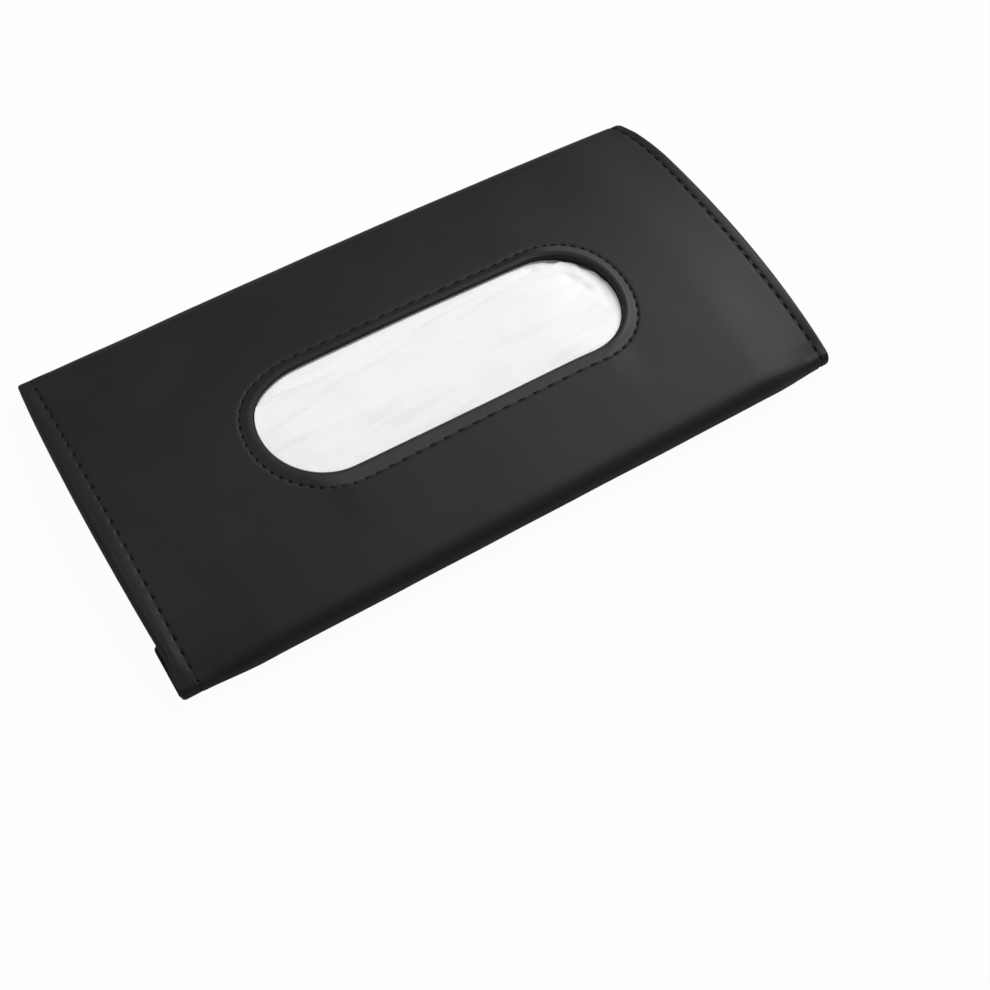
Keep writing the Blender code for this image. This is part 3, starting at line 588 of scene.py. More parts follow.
def mesh_piece(name, points, faces, finish, body, slot, *nodes):
    """A smooth mesh that rides on a body and stands for the named parts."""
    mesh = bpy.data.meshes.new(name)
    mesh.from_pydata([tuple(point) for point in points], [], faces)
    mesh.validate()
    mesh.update()
    piece = bpy.data.objects.new(name, mesh)
    bpy.context.scene.collection.objects.link(piece)
    mesh.materials.append(finish)
    mesh.shade_smooth()
    if body:
        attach(piece, body)
    if nodes:
        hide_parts(*nodes)
    return piece


def grid_faces(rows, columns, closed=False, start=0):
    """Quads between neighbouring rows of points, and round each row if it is closed."""
    faces = []
    for row in range(rows - 1):
        for column in range(columns if closed else columns - 1):
            following = (column + 1) % columns
            here = start + row * columns
            faces.append(
                (here + column, here + columns + column, here + columns + following, here + following)
            )
    return faces


def strip_faces(first, second, closed=False):
    """Quads between two lines of points, given by their numbers."""
    count = len(first)
    faces = []
    for i in range(count if closed else count - 1):
        j = (i + 1) % count
        faces.append((first[i], first[j], second[j], second[i]))
    return faces


def flipped(faces):
    return [face[::-1] for face in faces]


def loft(rows, closed=False):
    """The points and faces of a surface through rows of points."""
    rows = np.asarray(rows)
    return rows.reshape(-1, 3), grid_faces(rows.shape[0], rows.shape[1], closed)


def rows_across(stations, span_at, count, surface):
    """Rows of points across the pouch, one at each station and as wide as its span there."""
    rows = []
    for x in stations:
        y = np.linspace(*span_at(x), count)
        rows.append(np.stack(surface(np.full_like(y, x), y), axis=-1))
    return rows


def thicken(piece, thickness, inward=True):
    shell = piece.modifiers.new("thickness", "SOLIDIFY")
    shell.thickness = thickness
    shell.offset = -1.0 if inward else 1.0


def crossings(xs, us):
    """The x and the u of each crossing in a net."""
    return [v.ravel() for v in np.meshgrid(xs, us)]


MERGE_WITHIN = 1e-8  # points of a pattern closer than this become one


def triangulated(points, edges):
    """The points and faces of a flat pattern's triangulation, which keeps the given edges."""
    flat = [Vector(point) for point in points]
    verts, _, faces, _, _, _ = delaunay_2d_cdt(flat, edges, [], 0, MERGE_WITHIN, True)
    return np.array([tuple(v) for v in verts]), [tuple(face) for face in faces]


def clear_of_window(points, faces, offset):
    """The faces whose middles lie further than an offset outside the window's edge."""
    middles = np.array([points[list(face)].mean(axis=0) for face in faces])
    kept = window_offset(middles[:, 0], middles[:, 1]) > offset
    return [face for face, keep in zip(faces, kept) if keep]


# The front's pattern has rings of points this far outside the window's edge, columns this far
# outside each end seam, and a net elsewhere
RING_OFFSETS = [
    v * MM
    for v in (1.5, 2.0, 2.6, 3.4, 4.1, 4.6, 4.95, 5.2, 5.36)
    + (5.5, 5.64, 5.8, 6.05, 6.4, 6.9, 7.6, 8.6, 10)
]
RING_COUNT = 810
COLUMN_OFFSETS = [
    v * MM
    for v in (-5, -3.8, -2.8, -2.1, -1.6, -1.2, -0.85, -0.55, -0.3)
    + (-0.1, 0.1, 0.3, 0.55, 0.85, 1.2, 1.6, 2.1)
]
COLUMN_SPACING = 0.0004
NET_SPACING = 0.0022
LIP_KEPT = 0.98  # a face beside the lip is kept though its middle dips a little under the edge


def front_pattern():
    """The front's flat pattern as points and triangles, dense beside its seams."""
    rings = [LIP_RADIUS] + RING_OFFSETS
    points = [np.stack(window_ring(offset, RING_COUNT), axis=-1) for offset in rings]
    across = np.linspace(-PATTERN_HALF, PATTERN_HALF, round(2 * PATTERN_HALF / COLUMN_SPACING))
    for side in (-1, 1):
        for x in [end_seam_x(side) + offset for offset in COLUMN_OFFSETS] + [HEM_ROUND_X]:
            points.append(np.stack([np.full_like(across, side * x), across], axis=-1))
    inner_end = end_seam_x(-1) + COLUMN_OFFSETS[0] - NET_SPACING / 2
    xs = np.linspace(-inner_end, inner_end, round(2 * inner_end / NET_SPACING))
    us = np.linspace(-PATTERN_HALF, PATTERN_HALF, round(2 * PATTERN_HALF / NET_SPACING) + 1)
    net_x, net_u = crossings(xs, us)
    clear = window_offset(net_x, net_u) > RING_OFFSETS[-1] + NET_SPACING / 2
    points.append(np.stack([net_x[clear], net_u[clear]], axis=-1))
    edges = [(i, (i + 1) % RING_COUNT) for i in range(RING_COUNT)]
    verts, faces = triangulated(np.concatenate(points), edges)
    return verts, clear_of_window(verts, faces, LIP_RADIUS * LIP_KEPT), across


LIP_STEPS = 7
LIP_WALL_SHARES = (0.3, 0.7, 0.95)  # the rows down the lip's wall
LIP_FOOT = 0.0003  # how wide the bend at the wall's foot is
LIP_LEAF = 0.004  # how far the turned edge runs back inside


def lip_rows():
    """The turned edge round the window: over the lip, down its wall and back inside."""
    ring_x, ring_u = window_ring(LIP_RADIUS, RING_COUNT)
    away = np.stack([ring_x, ring_u], axis=-1)
    inner = np.stack(window_ring(0.0, RING_COUNT), axis=-1)
    inward = (inner - away) / LIP_RADIUS
    base = front_dent(ring_x, ring_u)
    profile = []
    for step in range(1, LIP_STEPS + 1):
        angle = math.pi / 2 * step / LIP_STEPS
        profile.append((LIP_RADIUS * math.sin(angle), LIP_RADIUS * (1 - math.cos(angle))))
    for share in LIP_WALL_SHARES:
        profile.append((LIP_RADIUS, mix(LIP_RADIUS, FRONT_DEPTH, share)))
    profile.append((LIP_RADIUS - LIP_FOOT, FRONT_DEPTH))
    profile.append((LIP_RADIUS - LIP_LEAF, FRONT_DEPTH))
    rows = []
    for reach, depth in profile:
        place = away + inward * reach
        rows.append(on_front(place[:, 0], place[:, 1], depth + base))
    return rows


HEM_ROUND_STEPS = 6
HEM_LEAF = 0.006  # how far an end is turned in


def hem_rows(side, across):
    """The turned edge at a sewn end: round the edge and back in under the hem."""
    rows = []
    for step in range(1, HEM_ROUND_STEPS + 1):
        angle = math.pi * step / HEM_ROUND_STEPS
        x = np.full_like(across, side * (HEM_ROUND_X + LEATHER * math.sin(angle)))
        depth = HEM_SINK + LEATHER * (1 - math.cos(angle))
        rows.append(on_front(x, across, depth))
    x = np.full_like(across, side * (HEM_ROUND_X - HEM_LEAF))
    rows.append(on_front(x, across, 2 * LEATHER + HEM_SINK))
    return rows


def turned_in(points, faces, edge, rows, closed=False, reverse=False):
    """Adds rows of points and their faces, each row joined to the one before, from an edge."""
    for row in rows:
        start = sum(len(group) for group in points)
        here = range(start, start + len(row))
        strip = strip_faces(edge, here, closed)
        faces += flipped(strip) if reverse else strip
        points.append(row)
        edge = here


def build_front_cover(leather):
    flat, faces, across = front_pattern()
    x, u = flat[:, 0], flat[:, 1]
    points = [on_front(x, u, front_dent(x, u))]
    turned_in(points, faces, range(RING_COUNT), lip_rows(), closed=True)
    columns = len(COLUMN_OFFSETS) + 1
    for side in (-1, 1):
        last_column = columns - 1 if side < 0 else 2 * columns - 1
        start = RING_COUNT * (1 + len(RING_OFFSETS)) + len(across) * last_column
        edge = range(start, start + len(across))
        turned_in(points, faces, edge, hem_rows(side, across), reverse=side > 0)
    cover = mesh_piece(
        "front_leather", np.concatenate(points), faces, leather, "case", "leather", "front_cover"
    )
    # How far each point of the front gets the painted sheen
    painted_sheen = np.zeros(len(cover.data.vertices))
    painted_sheen[: len(flat)] = painted_sheen_share(x, u)
    cover.data.attributes.new("painted_sheen", "FLOAT", "POINT").data.foreach_set("value", painted_sheen)


THREAD_SIDES = 6
THREAD_STEPS = 7
THREAD_START = 0.03  # where on its pitch a thread starts
THREAD_OVERRUN = 0.02  # how far it runs past the dent's end, in pitches
THREAD_SUNK = 0.35  # how deep its middle lies, as a share of the dent's depth
THREAD_END_SUNK = 0.45  # and how much deeper its ends lie
THREAD_END_RADIUS = 0.55  # of its full radius


def stitch_threads(name, centre_at, counts, finish, node):
    """One short thread for each stitch of a seam, sunk into its dent."""
    points = []
    faces = []
    up = np.array([0.0, 0.0, 1.0])
    last = THREAD_STEPS - 1
    for count in counts:
        spine = []
        for step in range(THREAD_STEPS):
            passed = count + mix(THREAD_START, STITCH_SHARE + THREAD_OVERRUN, step / last)
            sag = THREAD_SUNK + THREAD_END_SUNK * (1 - math.sin(math.pi * (step / last)))
            spine.append(centre_at(passed, SEAM_GROOVE + STITCH_DEPTH * sag))
        spine = np.array(spine)
        along = np.gradient(spine, axis=0)
        along /= np.linalg.norm(along, axis=1, keepdims=True)
        start = len(points)
        for step in range(THREAD_STEPS):
            out = np.cross(along[step], up)
            out /= np.linalg.norm(out)
            over = np.cross(out, along[step])
            taper = THREAD_END_RADIUS if step in (0, last) else 1.0
            for side in range(THREAD_SIDES):
                angle = math.tau * side / THREAD_SIDES
                offset = out * math.cos(angle) + over * math.sin(angle)
                points.append(spine[step] + THREAD_RADIUS * taper * offset)
        faces += grid_faces(THREAD_STEPS, THREAD_SIDES, closed=True, start=start)
        faces.append(tuple(start + i for i in range(THREAD_SIDES)))
        faces.append(tuple(start + last * THREAD_SIDES + i for i in reversed(range(THREAD_SIDES))))
    mesh_piece(name, points, faces, finish, "case", "thread", node)


def window_thread_place(passed, depth):
    run = place_at(WINDOW_SEAM, passed % WINDOW_SEAM.passed[-1])
    return on_front(*window_place(np.float64(run), WINDOW_SEAM_OFFSET), depth)


def end_thread_place(side, seam):
    def at(passed, depth):
        u = place_at(seam, passed) - PATTERN_HALF
        return on_front(np.float64(side * end_seam_x(side)), np.float64(u), depth)

    return at


def build_stitches(thread):
    counts = range(round(WINDOW_SEAM.passed[-1]))
    stitch_threads("window_stitches", window_thread_place, counts, thread, "window_seam_thread")
    for side, word, seam in ((-1, "left", LEFT_SEAM), (1, "right", RIGHT_SEAM)):
        counts = range(round(seam.passed[-1]))
        place = end_thread_place(side, seam)
        stitch_threads(word + "_end_stitches", place, counts, thread, word + "_seam_thread")


BACK_SLACK = 0.00008  # how unevenly the back's leather lies

# How many points the back, the linings and the foam have along the pouch and across it
BACK_XS = 140
BACK_YS = 90
LINING_XS = 120
FOAM_XS = 100
LINING_YS = 60


def back_span(x):
    """The back's near and far edges at x. Between the ends it stops short for the flap."""
    high = float(envelope(x).fold_y) - BACK_SEAM_INSET
    return mix(BACK_EDGE_Y, -high, float(into_end(x))), high


def back_surface(x, y):
    z = back_height(x, y) + BACK_SLACK * waves(x, y, SLACK_SIZE, seed=4)
    return x + bow(x, y), y + spread(x, y), z


def build_back_cover(leather):
    stations = np.linspace(-HEM_ROUND_X, HEM_ROUND_X, BACK_XS)
    points, faces = loft(rows_across(stations, back_span, BACK_YS, back_surface))
    back = mesh_piece("back_leather", points, flipped(faces), leather, "case", "leather", "back_cover")
    thicken(back, LEATHER)


def front_lining_span(x):
    edge = float(envelope(x).fold_y) - GAP
    return -edge, edge


def front_lining_surface(x, y):
    depth = mix(FRONT_DEPTH - LINING, LEATHER + GAP, into_end(x))
    return x + bow(x, y), y, front_height(x, y, depth)


def back_lining_span(x):
    return BACK_EDGE_Y, float(envelope(x).fold_y) - BACK_SEAM_INSET


def back_lining_surface(x, y):
    lift = mix(BACK_LIFT - LINING, LEATHER + GAP, into_end(x))
    return x + bow(x, y), y, back_height(x, y) + lift


def build_linings(lining):
    lining_end = HEM_START_X - GAP
    stations = np.linspace(-lining_end, lining_end, LINING_XS)
    points, faces = loft(rows_across(stations, front_lining_span, LINING_YS, front_lining_surface))
    kept = clear_of_window(points, faces, WINDOW_SEAM_OFFSET + 2 * GAP)
    front = mesh_piece("front_lining_cloth", points, kept, lining, "case", "lining", "front_lining")
    thicken(front, LINING)
    points, faces = loft(rows_across(stations, back_lining_span, LINING_YS, back_lining_surface))
    back = mesh_piece("back_lining_cloth", points, faces, lining, "case", "lining", "back_lining")
    thicken(back, LINING, inward=False)


def foam_surface(x, y):
    return x, y, front_height(x, y, LEATHER + GAP)


def build_foam(foam):
    """The foam under the front's leather, cut back from the window."""
    foam_low, foam_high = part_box("front_foam")
    stations = np.linspace(foam_low.x, foam_high.x, FOAM_XS)
    points, faces = loft(rows_across(stations, front_lining_span, LINING_YS, foam_surface))
    kept = clear_of_window(points, faces, BEVEL_REACH + FOAM)
    pad = mesh_piece("foam_padding", points, kept, foam, "case", "foam", "front_foam")
    thicken(pad, FOAM)


BAND_XS = 76
BAND_YS = 60
RIB_COUNT = 12
RIB_HEIGHT = 0.00006
BAND_EDGE_WIDTH = 0.0008
BAND_EDGE_THINNING = 0.0003  # on each face, by a band's long edges


def build_bands(elastic):
    """Two flat woven elastic bands, ribbed along their length."""
    for word in ("left", "right"):
        low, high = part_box(word + "_elastic_band")
        across = np.linspace(low.x, high.x, BAND_XS)
        along = np.linspace(low.y, high.y, BAND_YS)
        rib = RIB_HEIGHT * np.cos((across - low.x) / (high.x - low.x) * math.tau * RIB_COUNT)
        from_edge = np.minimum(across - low.x, high.x - across)
        edge = BAND_EDGE_THINNING * smooth(1 - from_edge / BAND_EDGE_WIDTH)
        lower = low.z + RIB_HEIGHT + rib + edge
        upper = high.z - RIB_HEIGHT + rib - edge
        round_x = np.concatenate([across, across[::-1]])
        round_z = np.concatenate([lower, upper[::-1]])
        rows = [np.stack([round_x, np.full_like(round_x, y), round_z], axis=-1) for y in along]
        points, faces = loft(rows, closed=True)
        count = len(round_x)
        last = (len(along) - 1) * count
        for i in range(len(across) - 1):
            faces.append((i, i + 1, count - 2 - i, count - 1 - i))
            faces.append((last + i + 1, last + i, last + count - 1 - i, last + count - 2 - i))
        band = mesh_piece(
            word + "_woven_band", points, faces, elastic, "case", "elastic", word + "_elastic_band"
        )


FLAP_CORNER_RADIUS = 0.0016
FLAP_CORNER_STEPS = 12
FLAP_XS = 170
FLAP_ROOT_YS = 16
FLAP_YS = 30
FLAP_LINING_XS = 100
FLAP_LINING_YS = 16
FLAP_ROOT_REACH = 0.0026  # how far the flap's leather runs on inside the near fold
FLAP_ROOT_RISE = 0.0007
FLAP_ROOT_END = 0.002  # the root's close rows end this far past the hinge
FLAP_PANEL_START = 0.003  # and the panel's wider rows start here


def flap_stations():
    """Places along the flap, close together at its rounded corners."""
    corner = FLAP_CORNER_RADIUS * (1 - np.cos(np.linspace(0, math.pi / 2, FLAP_CORNER_STEPS)))
    left = -FLAP_LEFT_END + FLAP_CORNER_RADIUS
    middle = np.linspace(left, FLAP_RIGHT_END - FLAP_CORNER_RADIUS, FLAP_XS)
    return np.concatenate([-FLAP_LEFT_END + corner, middle[1:-1], (FLAP_RIGHT_END - corner)[::-1]])


def flap_row(x):
    """The flap's points at x, from its root inside the near fold to its free edge."""
    inset = max(0.0, FLAP_CORNER_RADIUS - min(FLAP_RIGHT_END - x, x + FLAP_LEFT_END))
    corner = FLAP_CORNER_RADIUS - math.sqrt(max(0.0, FLAP_CORNER_RADIUS**2 - inset**2))
    root = np.linspace(HINGE_Y - FLAP_ROOT_REACH, HINGE_Y + FLAP_ROOT_END, FLAP_ROOT_YS)
    edge_y = FLAP_EDGE_Y - FLAP_SHORT
    panel = np.linspace(HINGE_Y + FLAP_PANEL_START, edge_y - corner, FLAP_YS)
    ys = np.concatenate([root, panel])
    rise = FLAP_ROOT_RISE * smooth((HINGE_Y - NEAR_SPREAD - ys) / (FLAP_ROOT_REACH - NEAR_SPREAD))
    return np.stack([np.full_like(ys, x), ys, rise], axis=-1)


def build_flap(leather, lining):
    """The closing flap: leather that leaves the near fold, with a cloth lining inside."""
    points, faces = loft([flap_row(x) for x in flap_stations()])
    cover = mesh_piece("flap_leather", points, flipped(faces), leather, None, "leather", "flap_cover")
    thicken(cover, LEATHER)
    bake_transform(cover)
    low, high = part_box("flap_lining")

    def span(x):
        return low.y, high.y

    def surface(x, y):
        return x, y, np.full_like(y, low.z)

    stations = np.linspace(low.x, high.x, FLAP_LINING_XS)
    points, faces = loft(rows_across(stations, span, FLAP_LINING_YS, surface))
    cloth = mesh_piece("flap_lining_cloth", points, faces, lining, "flap", "lining", "flap_lining")
    thicken(cloth, LINING, inward=False)


PACK_SIDE = 0.0400  # half the pack's width, measured along the flat pattern
WINDOW_FILM_DEPTH = 0.0005  # how far under the leather's face the film swells into the window
FILM_RISE_START = 0.03 * MM  # how far inside the window's edge it starts to rise
FILM_RISE_REACH = 0.24 * MM
RIGHT_FILM_DEPTH = 0.0021  # its depth at the window's right end, where the pack has slid down
RIGHT_FILM_REACH = 0.030
RIGHT_FALL_SHARE = 0.9  # about how much of that slide is left midway across, less by the near side
WINDOW_PILLOW = 0.0003
PILLOW_REACH = 0.009
TISSUE_GAP = 0.00012

# The pack's top has rings of points this far outside the window's edge, a wide net outside
# them and a fine net inside them
PACK_RINGS = [
    v * MM
    for v in (0.6, 0.2, 0.0, -0.05, -0.1, -0.15, -0.2, -0.25)
    + (-0.32, -0.42, -0.56, -0.75, -1.0, -1.4, -1.9, -2.5)
]
PACK_RING_COUNT = 520
PACK_NET = 0.0035
WINDOW_NET = 0.00075


def pack_depth(x, u):
    """How far the film lies under the leather's face: under the lining, or up in the window."""
    inside = -window_offset(x, u)
    raised = smooth((inside - FILM_RISE_START) / FILM_RISE_REACH)
    fallen = smooth((x - WINDOW_X - WINDOW_LENGTH / 2 + RIGHT_FILM_REACH) / RIGHT_FILM_REACH)
    fallen = fallen * smooth((u - WINDOW_Y) / WINDOW_WIDTH + RIGHT_FALL_SHARE)
    swollen = mix(WINDOW_FILM_DEPTH, RIGHT_FILM_DEPTH, fallen)
    swollen = swollen - WINDOW_PILLOW * smooth(inside / PILLOW_REACH)
    return mix(FRONT_DEPTH + GAP, swollen, raised)


Crease = namedtuple("Crease", "x u turn length width height")
Fan = namedtuple("Fan", "x u start stop count length height")  # turns in degrees
Scatter = namedtuple("Scatter", "count xs us turns lengths widths height")  # limits, as pairs

CREASE_RISE = 3  # a crease rises over one part in this many of its length
CREASE_SKEW = 2.5  # and one flank falls this much slower than the other

WINDOW_LEFT = WINDOW_X - WINDOW_LENGTH / 2
WINDOW_RIGHT = WINDOW_X + WINDOW_LENGTH / 2
WINDOW_NEAR = WINDOW_Y - WINDOW_ROUND
WINDOW_FAR = WINDOW_Y + WINDOW_ROUND

# The film's creases: fans where the window's edge catches it, slack folds and fine wrinkles
FILM_FANS = [
    Fan(WINDOW_LEFT + 0.0005, WINDOW_Y - 0.001, -52, 48, 13, 0.012, 0.00022),
    Fan(-0.036, WINDOW_NEAR + 0.0005, 20, 150, 9, 0.006, 0.00018),
    Fan(0.016, WINDOW_NEAR + 0.0005, 40, 160, 9, 0.008, 0.00018),
    Fan(WINDOW_RIGHT - 0.006, WINDOW_Y + 0.013, 150, 290, 10, 0.006, 0.00045),
    Fan(WINDOW_RIGHT - 0.020, WINDOW_FAR - 0.0002, 185, 300, 8, 0.006, 0.00030),
]
FILM_SLACK = Scatter(
    count=16,
    xs=(-0.052, 0.030),
    us=(WINDOW_NEAR + 0.004, WINDOW_FAR - 0.003),
    turns=(-6, 12),
    lengths=(0.015, 0.045),
    widths=(0.0010, 0.0010),
    height=0.00016,
)
FILM_WRINKLES = Scatter(
    count=60,
    xs=(WINDOW_LEFT, WINDOW_RIGHT),
    us=(WINDOW_NEAR, WINDOW_FAR),
    turns=(-80, 80),
    lengths=(0.002, 0.006),
    widths=(0.0004, 0.0004),
    height=0.00007,
)

# The tissue's folds: many soft ones, four long ones, and its hollows by the window's right end
PAPER_FOLDS = Scatter(
    count=26,
    xs=(-0.075, 0.04),
    us=(-0.022, 0.022),
    turns=(-14, 16),
    lengths=(0.015, 0.05),
    widths=(0.0008, 0.0022),
    height=0.00024,
)
LONG_FOLDS = [
    Crease(0.047, 0.0165, math.radians(188.5), 0.085, 0.0011, 0.00055),
    Crease(0.030, 0.0120, math.radians(187.0), 0.075, 0.0016, 0.00040),
    Crease(-0.060, -0.0020, math.radians(12.0), 0.040, 0.0012, 0.00040),
    Crease(-0.060, -0.0040, math.radians(-4.0), 0.050, 0.0016, 0.00035),
]
HOLLOWS = [
    Crease(0.0600, 0.0010, math.radians(195.0), 0.0110, 0.0020, -0.0011),
    Crease(0.0570, 0.0080, math.radians(225.0), 0.0080, 0.0015, -0.0008),
    Crease(0.0490, 0.0165, math.radians(197.0), 0.0130, 0.0017, -0.0010),
    Crease(0.0630, -0.0060, math.radians(165.0), 0.0070, 0.0014, -0.0006),
]

# How unlike each other the creases of one fan are
FAN_TURN_SHARE = 0.6
FAN_LEAST_LENGTH = 0.5
FAN_LENGTH_RANGE = 0.9
FAN_OFF = 0.0012
FAN_LEAST_WIDTH = 0.0003
FAN_WIDTH_RANGE = 0.0005

# The short creases that run inwards from the window's edge, slanted along the window
EDGE_CREASE_COUNT = 40
EDGE_CREASE_START = -0.0002
EDGE_CREASE_PLACES = 200
EDGE_CREASE_SLANT = 0.2
EDGE_CREASE_TURN = 0.5
EDGE_CREASE_LENGTHS = (0.002, 0.004)
EDGE_CREASE_WIDTH = 0.0003
EDGE_CREASE_HEIGHT = 0.0002


def fan_creases(fan, maker):
    """Creases that spread from one place, as film does where it is caught."""
    creases = []
    for i in range(fan.count):
        turned = (i + maker.random() * FAN_TURN_SHARE) / fan.count
        turn = math.radians(mix(fan.start, fan.stop, turned))
        length = fan.length * (FAN_LEAST_LENGTH + maker.random() * FAN_LENGTH_RANGE)
        off = FAN_OFF * maker.random()
        place = (fan.x + math.cos(turn) * off, fan.u + math.sin(turn) * off)
        width = FAN_LEAST_WIDTH + FAN_WIDTH_RANGE * maker.random()
        creases.append(Crease(*place, turn, length, width, fan.height))
    return creases


def scattered(scatter, maker):
    """Creases whose places, turns and lengths are random, and widths too if they have a range."""
    creases = []
    for _ in range(scatter.count):
        x = mix(*scatter.xs, maker.random())
        u = mix(*scatter.us, maker.random())
        turn = math.radians(mix(*scatter.turns, maker.random()))
        length = mix(*scatter.lengths, maker.random())
        thin, wide = scatter.widths
        width = mix(thin, wide, maker.random()) if wide > thin else thin
        creases.append(Crease(x, u, turn, length, width, scatter.height))
    return creases


def edge_creases(maker):
    """Short creases that run inwards from the window's edge."""
    xs, us = window_ring(EDGE_CREASE_START, EDGE_CREASE_PLACES)
    creases = []
    for _ in range(EDGE_CREASE_COUNT):
        at = int(maker.random() * EDGE_CREASE_PLACES)
        inwards = math.atan2(WINDOW_Y - us[at], (WINDOW_X - xs[at]) * EDGE_CREASE_SLANT)
        turn = inwards + mix(-EDGE_CREASE_TURN, EDGE_CREASE_TURN, maker.random())
        length = mix(*EDGE_CREASE_LENGTHS, maker.random())
        creases.append(Crease(xs[at], us[at], turn, length, EDGE_CREASE_WIDTH, EDGE_CREASE_HEIGHT))
    return creases


def film_creases():
    maker = random.Random(11)
    creases = []
    for fan in FILM_FANS:
        creases += fan_creases(fan, maker)
    for scatter in (FILM_SLACK, FILM_WRINKLES):
        creases += scattered(scatter, maker)
    return creases + edge_creases(maker)


def crease_height(x, u, creases):
    """How much each point stands up by the creases that pass it."""
    height = np.zeros_like(x)
    for crease in creases:
        ahead = (x - crease.x) * math.cos(crease.turn) + (u - crease.u) * math.sin(crease.turn)
        across = (u - crease.u) * math.cos(crease.turn) - (x - crease.x) * math.sin(crease.turn)
        share = np.clip(ahead / crease.length, 0.0, 1.0)
        taper = smooth(share * CREASE_RISE) * (1 - share) * (ahead > 0)
        steep = np.exp(-across / crease.width)
        slow = np.exp(across / crease.width / CREASE_SKEW)
        height = height + crease.height * taper * np.where(across > 0, steep, slow)
    return height


PACK_EDGE_COUNT = 400  # points along the line that the pattern ends at


def pack_pattern(half_length, side, edge=None):
    """The pack's top as a flat pattern, close-meshed in the window. It may end at an edge line."""
    points = [np.stack(window_ring(offset, PACK_RING_COUNT), axis=-1) for offset in PACK_RINGS]
    xs = np.linspace(-half_length, half_length, round(2 * half_length / PACK_NET) + 1)
    us = np.linspace(-side, side, round(2 * side / PACK_NET) + 1)
    net_x, net_u = crossings(xs, us)
    clear = window_offset(net_x, net_u) > PACK_RINGS[0] + PACK_NET / 3
    order = (len(PACK_RINGS) * PACK_RING_COUNT - 1 + np.cumsum(clear)).reshape(len(us), len(xs))
    points.append(np.stack([net_x[clear], net_u[clear]], axis=-1))
    fine_x = np.arange(-WINDOW_LENGTH / 2, WINDOW_LENGTH / 2, WINDOW_NET) + WINDOW_X
    fine_u = np.arange(-WINDOW_WIDTH / 2, WINDOW_WIDTH / 2, WINDOW_NET) + WINDOW_Y
    net_x, net_u = crossings(fine_x, fine_u)
    within = window_offset(net_x, net_u) < PACK_RINGS[-1] - WINDOW_NET / 2
    points.append(np.stack([net_x[within], net_u[within]], axis=-1))
    lines = []
    if edge:
        along = np.linspace(-half_length, half_length, PACK_EDGE_COUNT)
        start = sum(len(group) for group in points)
        points.append(np.stack([along, np.array([edge(x) for x in along])], axis=-1))
        lines = [(start + i, start + i + 1) for i in range(len(along) - 1)]
    verts, faces = triangulated(np.concatenate(points), lines)
    if edge:
        faces = [face for face in faces if beneath(verts[list(face)].mean(axis=0), edge)]
    return verts, faces, xs, us, order


def beneath(point, edge):
    return point[1] < edge(point[0])


def pack_top(x, u, sunk):
    """Where the pack's top lies, sunk a little under its film."""
    along, y, ceiling = on_form(envelope(x), x, u, pack_depth(x, u))
    floor = back_height(along, y) + BACK_LIFT + GAP
    fin = smooth((np.abs(x) - PACK_HALF_LENGTH) / (PACK_FIN_LENGTH / 2))
    crimped = (ceiling + floor) / 2 + FILM + PACK_FIN_GAP / 2
    return np.stack([x, y, mix(ceiling, crimped, fin) - sunk], axis=-1)


def pack_underside(x, u, raised):
    """Where the pack's underside lies, raised a little over its film."""
    along, y, ceiling = on_form(envelope(x), x, u, FRONT_DEPTH + GAP)
    floor = back_height(along, y) + BACK_LIFT + GAP
    fin = smooth((np.abs(x) - PACK_HALF_LENGTH) / (PACK_FIN_LENGTH / 2))
    crimped = (ceiling + floor) / 2 - FILM - PACK_FIN_GAP / 2
    return np.stack([x, y, mix(floor, crimped, fin) + raised], axis=-1)


def closed_pack(half_length, side, sunk, creased):
    """The closed form of the pack or its pile: the top, the underside and the four sides."""
    flat, faces, xs, us, order = pack_pattern(half_length, side)
    x, u = flat[:, 0], flat[:, 1]
    top = pack_top(x, u, sunk - creased(x, u))
    grid_x, grid_u = crossings(xs, us)
    under = pack_underside(grid_x, grid_u, sunk)
    start = len(top)
    columns = len(xs)
    faces += grid_faces(len(us), columns, start=start)

    def above(row, column):
        return int(order[row, column])

    def below(row, column):
        return start + row * columns + column

    far = len(us) - 1
    last = columns - 1
    for i in range(last):
        faces.append((above(0, i), below(0, i), below(0, i + 1), above(0, i + 1)))
        faces.append((above(far, i + 1), below(far, i + 1), below(far, i), above(far, i)))
    for i in range(far):
        faces.append((above(i + 1, 0), below(i + 1, 0), below(i, 0), above(i, 0)))
        faces.append((above(i, last), below(i, last), below(i + 1, last), above(i + 1, last)))
    return np.concatenate([top, under]), faces


TISSUE_EDGE_WAVER = 0.0016
TISSUE_EDGE_WAVES = 30  # in each metre
TISSUE_EDGE_SLOPE = 0.03
TISSUE_EDGE_NOISE = 3.0  # which line of the noise it follows


def top_tissue_edge(x):
    waver = noise.noise(Vector((x * TISSUE_EDGE_WAVES, TISSUE_EDGE_NOISE, 0.0)))
    return TOP_TISSUE_EDGE_Y + TISSUE_EDGE_WAVER * waver + TISSUE_EDGE_SLOPE * x


RIM_HELD = 0.0004  # the film lies without creases this close to the lip
FILM_CREASE_FADE = 0.0012
PAPER_FOLD_FADE = 0.0015
RIM_HOLLOW = 0.0016
RIM_HOLLOW_START = 0.044
RIM_HOLLOW_LENGTH = 0.024
RIM_HOLLOW_WIDTH = 0.0009
RIM_HOLLOW_WAVER = 0.0013
RIM_HOLLOW_WAVER_SIZE = 0.004
RIM_HOLLOW_EDGE = 0.0006
RIM_HOLLOW_NEAR_FADE = 0.004


